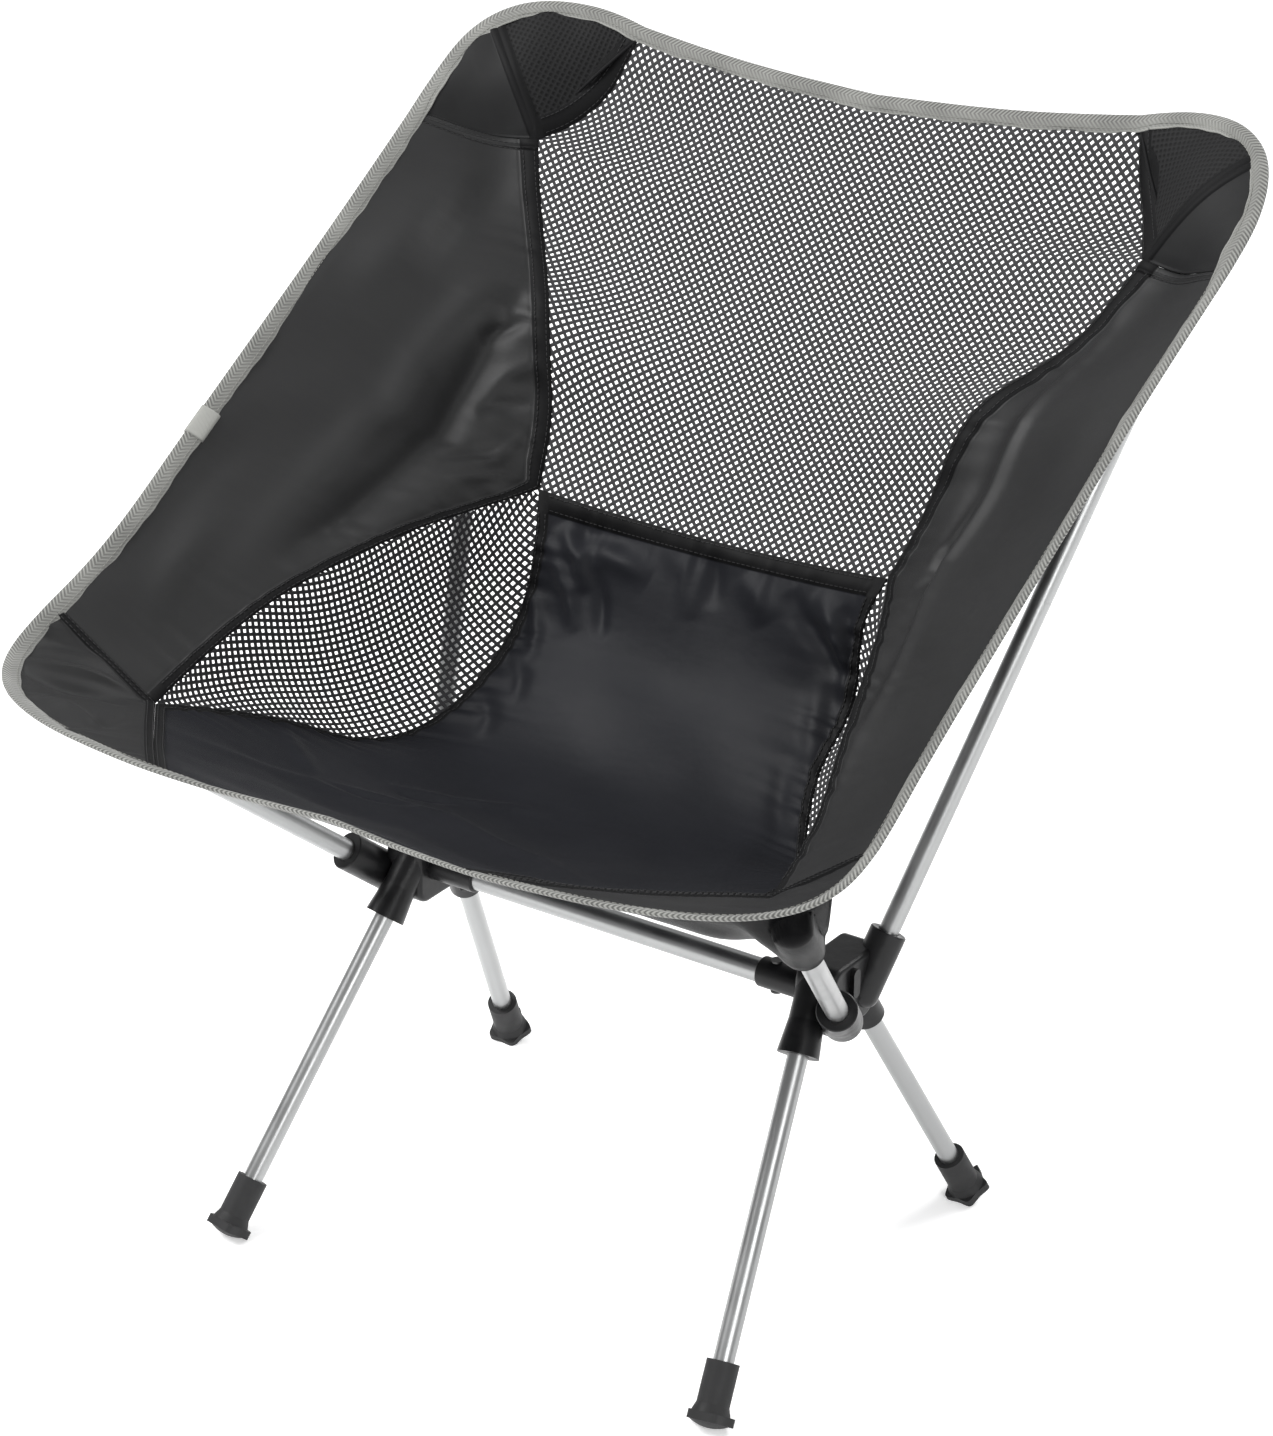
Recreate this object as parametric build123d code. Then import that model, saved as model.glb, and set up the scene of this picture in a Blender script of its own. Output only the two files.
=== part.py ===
from build123d import *
from math import pi, sin
import os

# Ultralight backpacking chair: a shock-corded tube frame with two moulded hubs and a fabric sling.
# Millimetres.  +X is the sitter's left, the chair's front faces -Y, +Z is up and the floor is z = 0.
# Everything is worked out for the sitter's left side and mirrored in the YZ plane for the right.

# ---- tubes ----
leg_diameter = 12.0
leg_wall = 0.8
back_pole_diameter = 12.0
back_pole_wall = 0.8
seat_pole_diameter = 13.0
seat_pole_wall = 0.9
crossbar_diameter = 14.5
crossbar_wall = 1.0
crossbar_half_length = 130.0
ferrule_length = 50.0
ferrule_wall = 1.0
back_pole_joint_share = 0.5

# ---- where the tubes stand ----
crossbar_height = 192.0
front_foot_half_spread = 171.0
front_foot_forward = 161.0
rear_foot_half_spread = 171.0
rear_foot_back = 127.0
foot_axis_height = 5.0
front_leg_hub_x = 140.0
front_leg_hub_y = -6.0
front_leg_hub_rise = 10.5
rear_leg_hub_x = 137.5
rear_leg_hub_y = 26.5
rear_leg_hub_rise = -1.0
seat_pole_hub_x = 158.5
seat_pole_hub_y = -7.2
seat_pole_hub_rise = -11.5
back_pole_hub_x = 151.5
back_pole_hub_y = 20.4
back_pole_hub_rise = -11.5

# ---- hub mouldings ----
socket_clearance = 0.3
front_leg_socket_depth = 45.0
rear_leg_socket_depth = 42.0
seat_pole_socket_depth = 40.0
back_pole_socket_depth = 43.0
socket_floor = 3.0
leg_sleeve_radius = 10.2
leg_sleeve_mouth_radius = 12.2
leg_sleeve_mouth_length = 20.0
seat_pole_sleeve_radius = 11.8
back_pole_sleeve_radius = 10.8
crossbar_sleeve_radius = 9.0
crossbar_sleeve_lip_x = 100.0
sleeve_edge_round = 1.2
hub_web_inner_x = 131.0
hub_web_outer_x = 157.0
hub_web_reach = 24.0
hub_web_round = 3.0
hub_boss_radius = 3.4
hub_boss_length = 18.0
hub_boss_height = 3.0
hub_boss_back = 5.0
hub_boss_rise = 8.0
hub_boss_root = 1.0
closed_end_round_share = 0.6
cut_overshoot = 20.0
rivet_radius = 2.0
rivet_head_radius = 3.5
rivet_head_height = 1.2
rivet_x = 110.0
rivet_seat_gap = 0.05

# ---- feet ----
boot_length = 34.0
boot_wall = 3.4
boot_fit = 0.05
boot_flare_length = 5.0
star_points = 5
star_radius = 14.0
star_valley_radius = 11.2
star_thickness = 5.0
star_dome_height = 3.0
boot_floor = 6.0

# ---- shock cord and end fittings ----
cord_diameter = 2.6
cord_anchor_depth = 2.5
cord_stop_length = 4.0
cord_stop_knot_radius = 3.0
cord_end_gap = 0.3
fitting_clearance = 0.1
tip_cap_radius = 7.5
tip_cap_length = 14.0
nose_round_share = 0.45

# ---- sling: overall sizes ----
pattern_half_width = 284.0
pattern_front_reach = 272.0
pattern_back_reach = 271.0
seat_low_height = 283.0
sling_top_height = 646.0

# ---- sling: make-up ----
fabric_thickness = 1.2
mesh_thickness = 0.9
binding_width = 9.5
binding_thickness = 2.6
seam_gap = 0.65
front_corner_seam_gap = 1.1
pocket_wall = 1.5
pocket_clearance = 0.3
front_pocket_nesting = 1.05
top_pocket_nesting = 0.85
front_pocket_depth = 62.0
top_pocket_depth = 55.0
binding_tab_length = 24.0
binding_tab_thickness = 1.2
binding_tab_place = 0.36
top_corner_crown = 9.0
corner_end_inset = 0.10
leaf_end_inset = 0.07
side_panel_start = 0.03
binding_end_share = 0.002
top_edge_end_share = 0.05
long_line_count = 22
short_line_count = 7
few_line_count = 5
bisection_count = 12
surface_tolerance = 0.4

# Shape of the sling's pattern, for the sitter's left half.  Each point is (out, back, up): the share
# of the pattern's half width, of its depth from front to back, and of the rise from the seat's lowest
# line to the top.
hem_and_front_corner = [
    (0.000, 0.017, 0.240), (0.264, 0.001, 0.243), (0.361, -0.006, 0.249), (0.515, -0.007, 0.257),
    (0.690, 0.012, 0.257), (0.815, 0.044, 0.255), (0.901, 0.087, 0.257), (0.944, 0.139, 0.271),
    (0.951, 0.191, 0.298),
]
side_rim = [
    (0.951, 0.191, 0.298), (0.947, 0.222, 0.318), (0.942, 0.261, 0.347), (0.942, 0.379, 0.450),
    (0.948, 0.556, 0.608), (0.955, 0.700, 0.736), (0.967, 0.832, 0.852),
]
top_corner_and_edge = [
    (0.967, 0.832, 0.852), (0.967, 0.890, 0.909), (0.952, 0.924, 0.948), (0.921, 0.952, 0.976),
    (0.864, 0.978, 0.996), (0.778, 1.002, 1.000), (0.685, 1.013, 0.991), (0.595, 1.013, 0.975),
]
top_edge = [(0.595, 1.013, 0.975), (0.350, 1.006, 0.953), (0.000, 0.998, 0.939)]
back_seam = [
    (0.4225, 0.674, 0.339), (0.440, 0.703, 0.394), (0.458, 0.7255, 0.457), (0.479, 0.7385, 0.526),
    (0.510, 0.760, 0.590), (0.574, 0.803, 0.639), (0.641, 0.845, 0.689), (0.687, 0.873, 0.749),
    (0.725, 0.8985, 0.807),
]
pocket_inner_edge = [
    (0.725, 0.8985, 0.807), (0.694, 0.928, 0.818), (0.6655, 0.956, 0.840), (0.637, 0.976, 0.873),
    (0.614, 0.993, 0.925), (0.595, 1.013, 0.975),
]
pocket_side_arc = [
    (0.967, 0.832, 0.852), (0.898, 0.849, 0.832), (0.817, 0.880, 0.807), (0.725, 0.8985, 0.807),
]
leaf_upper_seam = [
    (0.4225, 0.674, 0.339), (0.465, 0.630, 0.330), (0.539, 0.543, 0.317), (0.602, 0.455, 0.295),
    (0.658, 0.372, 0.262), (0.703, 0.293, 0.210), (0.720, 0.206, 0.160),
]
leaf_lower_seam = [
    (0.4225, 0.674, 0.339), (0.401, 0.650, 0.273), (0.408, 0.628, 0.160), (0.412, 0.5635, 0.083),
    (0.454, 0.499, 0.022), (0.528, 0.429, 0.008), (0.606, 0.363, 0.058), (0.672, 0.290, 0.1095),
    (0.720, 0.206, 0.160),
]
front_pocket_inner = [(0.951, 0.191, 0.298), (0.820, 0.198, 0.222), (0.720, 0.206, 0.160)]
front_pocket_seam = [(0.720, 0.206, 0.160), (0.545, 0.099, 0.196), (0.361, -0.006, 0.249)]
seat_middle = [
    (0.0, 0.681, 0.322), (0.0, 0.655, 0.250), (0.0, 0.600, 0.120), (0.0, 0.520, 0.030),
    (0.0, 0.420, -0.010), (0.0, 0.300, 0.022), (0.0, 0.170, 0.095), (0.0, 0.017, 0.240),
]
back_middle = [(0.0, 0.681, 0.322), (0.0, 0.836, 0.627), (0.0, 0.998, 0.939)]
# Lines inside the sling that the binding's inner edge points to.
front_binding_guide = [
    (0.000, 0.170, 0.095), (0.380, 0.170, 0.120), (0.620, 0.200, 0.140), (0.743, 0.250, 0.152),
    (0.800, 0.300, 0.200),
]
side_binding_guide = [
    (0.800, 0.300, 0.200), (0.660, 0.400, 0.270), (0.560, 0.600, 0.450), (0.620, 0.750, 0.640),
    (0.725, 0.860, 0.780),
]
top_corner_binding_guide = [(0.725, 0.860, 0.780), (0.700, 0.870, 0.790), (0.600, 0.880, 0.780)]
top_edge_binding_guide = [(0.600, 0.880, 0.780), (0.300, 0.875, 0.745), (0.000, 0.870, 0.720)]
front_tip_place = (0.28, 0.80)
top_tip_place = (0.45, 0.72)

# ---- sizes that follow from those above ----
leg_radius = leg_diameter / 2
back_pole_radius = back_pole_diameter / 2
seat_pole_radius = seat_pole_diameter / 2
crossbar_radius = crossbar_diameter / 2
cord_radius = cord_diameter / 2
binding_line = binding_width + seam_gap
pocket_radius = tip_cap_radius + pocket_clearance + pocket_wall


# ---- small helpers ----
def sling_point(share):
    """Real position of a pattern point given as shares of the sling's sizes."""
    out, back, up = share
    return Vector(
        out * pattern_half_width,
        -pattern_front_reach + back * (pattern_front_reach + pattern_back_reach),
        seat_low_height + up * (sling_top_height - seat_low_height),
    )


def seam(*parts):
    """Smooth curve through the pattern points of each list; lists meet at corners."""
    edges = [Edge.make_spline([sling_point(share) for share in part]) for part in parts]
    return edges[0] if len(edges) == 1 else Wire(edges)


def stations(count, start=0.0, end=1.0):
    """Evenly spaced parameters from start to end."""
    return [start + (end - start) * i / (count - 1) for i in range(count)]


def axis_plane(origin, direction):
    """Plane whose normal runs along an axis."""
    return Plane(origin=origin, z_dir=direction)


def rod(start, end, radius):
    """Plain cylinder between two points."""
    start, end = Vector(start), Vector(end)
    return Solid.make_cylinder(radius, (end - start).length, axis_plane(start, end - start))


def tube(start, end, radius, wall):
    """Hollow tube between two points, open at both ends."""
    return rod(start, end, radius) - rod(start, end, radius - wall)


def mirrored(shape):
    """The same piece on the sitter's right."""
    return mirror(shape, about=Plane.YZ)


def smooth_face(rows):
    """Smooth face through a grid of points."""
    return Face.make_surface_from_array_of_points(rows, tol=surface_tolerance, min_deg=3, max_deg=5)


def offset_rows(rows, distance, side):
    """The same grid of points, moved square to the sheet towards the given side."""
    moved = []
    for i, row in enumerate(rows):
        before, after = rows[max(i - 1, 0)], rows[min(i + 1, len(rows) - 1)]
        line = []
        for j, point in enumerate(row):
            across = row[min(j + 1, len(row) - 1)] - row[max(j - 1, 0)]
            normal = (after[j] - before[j]).cross(across).normalized()
            if normal.dot(Vector(side)) < 0:
                normal = -normal
            line.append(point + normal * distance)
        moved.append(line)
    return moved


def skin(rows, thickness, outward):
    """Closed sheet whose inner face passes through the rows of points."""
    inner = smooth_face(rows)
    outer = smooth_face(offset_rows(rows, thickness, outward))
    walls = []
    for edge in inner.edges():
        partner = outer.edges().sort_by_distance(edge @ 0.5)[0]
        walls.append(Face.make_surface_from_curves(edge, partner))
    return Solid(Shell([inner, outer, *walls]))


# ---- sling surfaces ----
hem_curve = seam(hem_and_front_corner)
side_rim_curve = seam(side_rim)
top_corner_curve = seam(top_corner_and_edge)
top_edge_curve = seam(top_edge)
front_pocket_curve = seam(front_pocket_inner, front_pocket_seam)
top_pocket_curve = seam(pocket_side_arc, pocket_inner_edge)
leaf_upper_curve = seam(leaf_upper_seam)
leaf_lower_curve = seam(leaf_lower_seam)
side_arc_curve = seam(pocket_side_arc)
side_inner_curve = seam(leaf_upper_seam[::-1], back_seam)
back_side_curve = seam(back_seam, pocket_inner_edge)
back_middle_curve = seam(back_middle)
seat_side_curve = seam(leaf_lower_seam, front_pocket_seam)
seat_middle_curve = seam(seat_middle)
front_guide_curve = seam(front_binding_guide)
side_guide_curve = seam(side_binding_guide)
top_corner_guide_curve = seam(top_corner_binding_guide)
top_edge_guide_curve = seam(top_edge_binding_guide)


def blend(start, end, share):
    """Point a share of the way from one point to another."""
    return start + (end - start) * share


def front_corner_point(s, t):
    """Front corner patch: straight lines from its inner seams (t = 0) to the hem and rim (t = 1)."""
    return blend(front_pocket_curve @ s, hem_curve @ (1 - s * (1 - hem_pocket_start)), t)


def top_corner_point(s, t):
    """Top corner patch: lines from the pocket's lower arcs to the rim, crowned where the pole pushes."""
    crown = top_corner_crown * sin(pi * s) * sin(pi * t)
    return blend(top_pocket_curve @ s, top_corner_curve @ s, t) + top_crown_direction * crown


def side_panel_point(s, t):
    """Side panel: lines from the inner seams to the rim, bent to meet the top pocket's arc."""
    arc_bend = side_arc_curve @ (1 - t) - blend(side_arc_curve @ 1, side_arc_curve @ 0, t)
    return blend(side_inner_curve @ s, side_rim_curve @ s, t) + arc_bend * s


def leaf_point(s, t):
    """Side mesh leaf: straight lines between its lower seam (t = 0) and its upper seam (t = 1)."""
    return blend(leaf_lower_curve @ s, leaf_upper_curve @ s, t)


def hammock_point(middle, side, s, r):
    """Cross-section from side to side (r = -1 to 1): a parabola through the middle line."""
    centre, edge = middle @ s, side @ s
    sag = r * r
    return Vector(edge.X * r, centre.Y + (edge.Y - centre.Y) * sag, centre.Z + (edge.Z - centre.Z) * sag)


hem_pocket_start = hem_curve.param_at_point(sling_point(front_pocket_seam[-1]))
top_crown_direction = Vector(-0.23, -0.67, 0.70).normalized()


def below(patch, place, distance, step=0.02):
    """Point a set distance under a patch, square to it."""
    s, t = place
    across = patch(s, t + step) - patch(s, t - step)
    along = patch(s + step, t) - patch(s - step, t)
    normal = across.cross(along).normalized()
    if normal.Z > 0:
        normal = -normal
    return patch(s, t) + normal * distance


# ---- axes of the tubes ----
front_foot = Vector(front_foot_half_spread, -front_foot_forward, foot_axis_height)
rear_foot = Vector(rear_foot_half_spread, rear_foot_back, foot_axis_height)
front_leg_top = Vector(front_leg_hub_x, front_leg_hub_y, crossbar_height + front_leg_hub_rise)
rear_leg_top = Vector(rear_leg_hub_x, rear_leg_hub_y, crossbar_height + rear_leg_hub_rise)
seat_pole_base = Vector(seat_pole_hub_x, seat_pole_hub_y, crossbar_height + seat_pole_hub_rise)
back_pole_base = Vector(back_pole_hub_x, back_pole_hub_y, crossbar_height + back_pole_hub_rise)
pocket_depth = pocket_radius + fabric_thickness
seat_pole_tip = below(front_corner_point, front_tip_place, pocket_depth - front_pocket_nesting)
back_pole_tip = below(top_corner_point, top_tip_place, pocket_depth - top_pocket_nesting)
front_leg_axis = (front_leg_top - front_foot).normalized()
rear_leg_axis = (rear_leg_top - rear_foot).normalized()
seat_pole_axis = (seat_pole_tip - seat_pole_base).normalized()
back_pole_axis = (back_pole_tip - back_pole_base).normalized()


def on_axis(origin, axis, distance):
    """Point a distance along an axis."""
    return origin + axis * distance


# ---- frame: tubes and their fittings ----
def leg_span(top, foot, axis):
    """Ends of a leg tube: just off the socket's floor, and on the boot's floor."""
    return on_axis(top, axis, -socket_clearance), on_axis(foot, axis, boot_floor)


def leg_tube(top, foot, axis):
    upper, lower = leg_span(top, foot, axis)
    return tube(lower, upper, leg_radius, leg_wall)


def star_outline(plane):
    """Rounded star: points and valleys alternate round the axis."""
    corners = []
    for i in range(2 * star_points):
        radius = star_radius if i % 2 == 0 else star_valley_radius
        corners.append(Vector(radius, 0).rotate(Axis.Z, 180 * i / star_points))
    outline = make_face(Spline(*corners, periodic=True))
    return plane * outline


def foot_boot(foot, axis):
    """Rubber boot: sleeve, flare, five-pointed star and shallow dome, cut flat where it stands."""
    base = axis_plane(foot, axis)
    sleeve_radius = leg_radius + boot_wall
    flare_start = star_thickness
    sleeve_start = flare_start + boot_flare_length
    star = extrude(star_outline(base), star_thickness)
    flare_plane = axis_plane(on_axis(foot, axis, flare_start), axis)
    flare = Solid.make_cone(star_valley_radius, sleeve_radius, boot_flare_length, flare_plane)
    sleeve = rod(on_axis(foot, axis, sleeve_start), on_axis(foot, axis, boot_length), sleeve_radius)
    dome_radius = (star_valley_radius**2 + star_dome_height**2) / (2 * star_dome_height)
    ball = Sphere(dome_radius).moved(Location(on_axis(foot, axis, dome_radius - star_dome_height)))
    dome = ball & rod(on_axis(foot, axis, -star_dome_height), foot, star_valley_radius)
    boot = star + flare + sleeve + dome
    bore = rod(on_axis(foot, axis, boot_floor), on_axis(foot, axis, boot_length), leg_radius + boot_fit)
    block = 4 * star_radius
    ground = Box(block, block, block, align=(Align.CENTER, Align.CENTER, Align.MAX))
    return boot - bore - ground.moved(Location((foot.X, foot.Y, 0)))


def cord_stop(foot, axis):
    """Disc in the leg's lower end with the cord's knot above it."""
    start = on_axis(foot, axis, boot_floor)
    end = on_axis(start, axis, cord_stop_length)
    disc = rod(start, end, leg_radius - leg_wall - fitting_clearance)
    knot = Sphere(cord_stop_knot_radius).moved(Location(end))
    return disc + knot


def leg_cord(top, foot, axis):
    """Shock cord inside a leg: from the hub's floor down to the knot."""
    knot_end = boot_floor + cord_stop_length + cord_stop_knot_radius + cord_end_gap
    return rod(on_axis(foot, axis, knot_end), on_axis(top, axis, cord_anchor_depth), cord_radius)


def tip_cap(tip, axis, pole_radius):
    """Moulded cap over the end of a pole, with a rounded nose."""
    skirt = on_axis(tip, axis, -tip_cap_length)
    nose_start = on_axis(tip, axis, -tip_cap_radius / 2)
    body = rod(skirt, tip, tip_cap_radius)
    body = fillet(body.edges().filter_by(GeomType.CIRCLE).sort_by_distance(tip)[0], tip_cap_radius * nose_round_share)
    return body - rod(skirt, nose_start, pole_radius + boot_fit)


def pole_end(tip, axis):
    """Where a pole's tube stops inside its cap."""
    return on_axis(tip, axis, -tip_cap_radius / 2 - boot_fit)


def pole_cord(base, tip, axis):
    """Shock cord inside a pole: from the hub's floor up to the tip cap."""
    end = on_axis(pole_end(tip, axis), axis, -cord_end_gap)
    return rod(on_axis(base, axis, -cord_anchor_depth), end, cord_radius)


def seat_pole():
    start = on_axis(seat_pole_base, seat_pole_axis, socket_clearance)
    return tube(start, pole_end(seat_pole_tip, seat_pole_axis), seat_pole_radius, seat_pole_wall)


def back_pole_joint():
    """Middle of the back pole, where its two tubes meet over the ferrule."""
    return blend(back_pole_base, back_pole_tip, back_pole_joint_share)


def back_pole_lower():
    start = on_axis(back_pole_base, back_pole_axis, socket_clearance)
    return tube(start, back_pole_joint(), back_pole_radius, back_pole_wall)


def back_pole_upper():
    start = on_axis(back_pole_joint(), back_pole_axis, fitting_clearance)
    return tube(start, pole_end(back_pole_tip, back_pole_axis), back_pole_radius, back_pole_wall)


def back_pole_ferrule():
    half = back_pole_axis * (ferrule_length / 2)
    radius = back_pole_radius - back_pole_wall - boot_fit
    return tube(back_pole_joint() - half, back_pole_joint() + half, radius, ferrule_wall)


def crossbar():
    """Cross tube between the hubs, drilled for the rivet at each end."""
    end = Vector(crossbar_half_length, 0, crossbar_height)
    bar = tube(Vector(-end.X, 0, end.Z), end, crossbar_radius, crossbar_wall)
    for side in (1, -1):
        bar -= rivet_hole(side)
    return bar


def rivet_hole(side):
    reach = Vector(0, 0, crossbar_sleeve_radius + cut_overshoot)
    centre = Vector(side * rivet_x, 0, crossbar_height)
    return rod(centre - reach, centre + reach, rivet_radius + boot_fit)


def rivet():
    """Rivet up through the crossbar sleeve and the crossbar, with a head at each end."""
    reach = crossbar_sleeve_radius + rivet_seat_gap
    low = Vector(rivet_x, 0, crossbar_height - reach)
    high = Vector(rivet_x, 0, crossbar_height + reach)
    head = Vector(0, 0, rivet_head_height)
    return rod(low, high, rivet_radius) + rod(low - head, low, rivet_head_radius) + rod(
        high, high + head, rivet_head_radius
    )


# ---- frame: hub ----
def sleeve(floor, axis, depth, radius):
    """Outside of a blind socket, rounded at its closed end."""
    start = on_axis(floor, axis, -socket_floor)
    body = rod(start, on_axis(floor, axis, depth), radius)
    closed_end = body.edges().filter_by(GeomType.CIRCLE).sort_by_distance(start)[0]
    open_end = body.edges().filter_by(GeomType.CIRCLE).sort_by_distance(start)[-1]
    body = fillet(closed_end, radius * closed_end_round_share)
    return chamfer(body.edges().filter_by(GeomType.CIRCLE).sort_by_distance(open_end @ 0)[0], sleeve_edge_round / 2)


def bore(floor, axis, depth, tube_radius):
    """Socket for a tube, with the hole that holds the end of its cord."""
    socket = rod(floor, on_axis(floor, axis, depth + cut_overshoot), tube_radius + socket_clearance)
    anchor = rod(on_axis(floor, axis, -cord_anchor_depth), floor, cord_radius + boot_fit)
    return socket + anchor


def hub_web():
    """Plate that joins the sleeves: a hull round their closed ends."""
    centres = [front_leg_top, rear_leg_top, seat_pole_base, back_pole_base]
    centres.append(on_axis(back_pole_base, back_pole_axis, hub_web_reach))
    discs = Sketch()
    for centre in centres:
        discs += Pos(centre.Y, centre.Z) * Circle(leg_sleeve_radius)
    outline = make_hull(discs.edges())
    plate = extrude(Plane.YZ.offset(hub_web_inner_x) * outline, hub_web_outer_x - hub_web_inner_x)
    return fillet(plate.edges().group_by(Axis.X)[-1] + plate.edges().group_by(Axis.X)[0], hub_web_round)


def hub():
    """Moulded hub: crossbar sleeve inboard, leg sleeves in the middle, pole sleeves outboard."""
    down_front, down_rear = -front_leg_axis, -rear_leg_axis
    bar_start = Vector(crossbar_sleeve_lip_x, 0, crossbar_height)
    bar_end = Vector(hub_web_inner_x + hub_web_round, 0, crossbar_height)
    bar_sleeve = rod(bar_start, bar_end, crossbar_sleeve_radius)
    lip = bar_sleeve.edges().filter_by(GeomType.CIRCLE).sort_by(Axis.X)[0]
    body = fillet(lip, sleeve_edge_round) + hub_web()
    body += sleeve(front_leg_top, down_front, front_leg_socket_depth, leg_sleeve_radius)
    mouth = on_axis(front_leg_top, down_front, front_leg_socket_depth - leg_sleeve_mouth_length)
    body += Solid.make_cone(
        leg_sleeve_radius, leg_sleeve_mouth_radius, leg_sleeve_mouth_length, axis_plane(mouth, down_front)
    )
    body += sleeve(rear_leg_top, down_rear, rear_leg_socket_depth, leg_sleeve_radius)
    body += sleeve(seat_pole_base, seat_pole_axis, seat_pole_socket_depth, seat_pole_sleeve_radius)
    body += sleeve(back_pole_base, back_pole_axis, back_pole_socket_depth, back_pole_sleeve_radius)
    body += hub_boss()
    bar_bore_end = Vector(crossbar_half_length + boot_fit, 0, crossbar_height)
    body -= rod(bar_start, bar_bore_end, crossbar_radius + boot_fit)
    body -= bore(front_leg_top, down_front, front_leg_socket_depth, leg_radius)
    body -= bore(rear_leg_top, down_rear, rear_leg_socket_depth, leg_radius)
    body -= bore(seat_pole_base, seat_pole_axis, seat_pole_socket_depth, seat_pole_radius)
    body -= bore(back_pole_base, back_pole_axis, back_pole_socket_depth, back_pole_radius)
    return body - rivet_hole(1)


def hub_boss():
    """Small raised pad on the outer face of the web."""
    outline = Rot(0, 0, 90) * SlotOverall(hub_boss_length, 2 * hub_boss_radius)
    place = Plane.YZ.offset(hub_web_outer_x - hub_boss_root)
    centre = Pos(hub_boss_back, crossbar_height + hub_boss_rise)
    return extrude(place * centre * outline, hub_boss_height + hub_boss_root)


# ---- sling: panels ----
def inset_share(place, rim):
    """Largest share along a line of a sheet at which it still clears the binding on the rim."""
    low, high = 0.0, 1.0
    for _ in range(bisection_count):
        middle = (low + high) / 2
        if rim.distance_to(place(middle)) > binding_line:
            low = middle
        else:
            high = middle
    return low


def sheet(point, along, rim, outward, thickness=fabric_thickness, count=short_line_count, gap=seam_gap):
    """Sheet between two seams, or between a seam and the binding on a rim."""
    rows = []
    for s in along:
        width = (point(s, 1) - point(s, 0)).length
        end = inset_share(lambda t: point(s, t), rim) if rim else 1 - gap / width
        rows.append([point(s, t) for t in stations(count, gap / width, end)])
    return skin(rows, thickness, outward)


def wide_sheet(middle, side, rim, outward, thickness=fabric_thickness):
    """Sheet from side to side through the chair's middle line, short of the binding at its far end."""
    columns = []
    for r in stations(2 * short_line_count - 1, -1, 1):
        end = inset_share(lambda s: hammock_point(middle, side, s, abs(r)), rim)
        column = []
        for s in stations(long_line_count, seam_gap / side.length, end):
            reach = 1 - seam_gap / (side @ s).X
            column.append(hammock_point(middle, side, s, r * reach))
        columns.append(column)
    return skin(columns, thickness, outward)


def seat_panel():
    return wide_sheet(seat_middle_curve, seat_side_curve, hem_curve, (0, 0, -1))


def back_mesh_panel():
    return wide_sheet(back_middle_curve, back_side_curve, top_edge_curve, (0, 1, -1), mesh_thickness)


def side_panel():
    along = stations(long_line_count, side_panel_start, 1 - seam_gap / side_inner_curve.length)
    return sheet(side_panel_point, along, side_rim_curve, (1, 0, -1))


def side_mesh_leaf():
    along = stations(long_line_count, leaf_end_inset, 1 - leaf_end_inset)
    return sheet(leaf_point, along, None, (1, 0, -1), mesh_thickness, few_line_count)


def front_corner_patch():
    along = stations(long_line_count, corner_end_inset, 1 - corner_end_inset)
    return sheet(front_corner_point, along, hem_curve, (0, 0, -1), gap=front_corner_seam_gap)


def top_corner_patch():
    along = stations(long_line_count, corner_end_inset, 1 - corner_end_inset)
    return sheet(top_corner_point, along, top_corner_curve, (0, 1, -1))


# ---- sling: edge binding ----
def binding_row(rim, guide, s, lift, width, count=3):
    """Points from the rim inwards, square to it, lifted so that the fabric lies in the fold."""
    tangent = rim % s
    inward = guide @ s - rim @ s
    inward = (inward - tangent * inward.dot(tangent)).normalized()
    normal = inward.cross(tangent)
    if normal.Z < 0:
        normal = -normal
    return [rim @ s + inward * (width * i / (count - 1)) + normal * lift for i in range(count)]


def flipped(row):
    """The same row of points on the sitter's right."""
    return [Vector(-point.X, point.Y, point.Z) for point in row]


fold_lift = (binding_thickness - fabric_thickness) / 2


def binding_strip(pieces, both_sides):
    """Folded tape along one or more lengths of the rim, as rows of points skinned to one sheet."""
    rows = []
    for rim, guide, shares in pieces:
        rows += [binding_row(rim, guide, s, fold_lift, binding_width) for s in shares]
    if both_sides:
        rows = [flipped(row) for row in rows[:0:-1]] + rows
    return skin(rows, binding_thickness, (0, 0, -1))


def front_binding():
    return binding_strip([(hem_curve, front_guide_curve, stations(long_line_count, 0, 1 - binding_end_share))], True)


def side_binding():
    along = stations(long_line_count, binding_end_share, 1 - binding_end_share)
    return binding_strip([(side_rim_curve, side_guide_curve, along)], False)


def top_binding():
    edge = (top_edge_curve, top_edge_guide_curve, stations(short_line_count, 1, top_edge_end_share))
    corner = (top_corner_curve, top_corner_guide_curve, stations(long_line_count, 1, 2 * binding_end_share))
    return binding_strip([edge, corner], True)


def binding_tab():
    """Lapped end of the webbing, stitched down over the binding on the sitter's right."""
    half = binding_tab_length / 2 / side_rim_curve.length
    shares = stations(few_line_count, binding_tab_place - half, binding_tab_place + half)
    lift = fold_lift + binding_tab_thickness + seam_gap
    rows = [binding_row(side_rim_curve, side_guide_curve, s, lift, binding_width) for s in shares]
    return mirrored(skin(rows, binding_tab_thickness, (0, 0, -1)))


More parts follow.
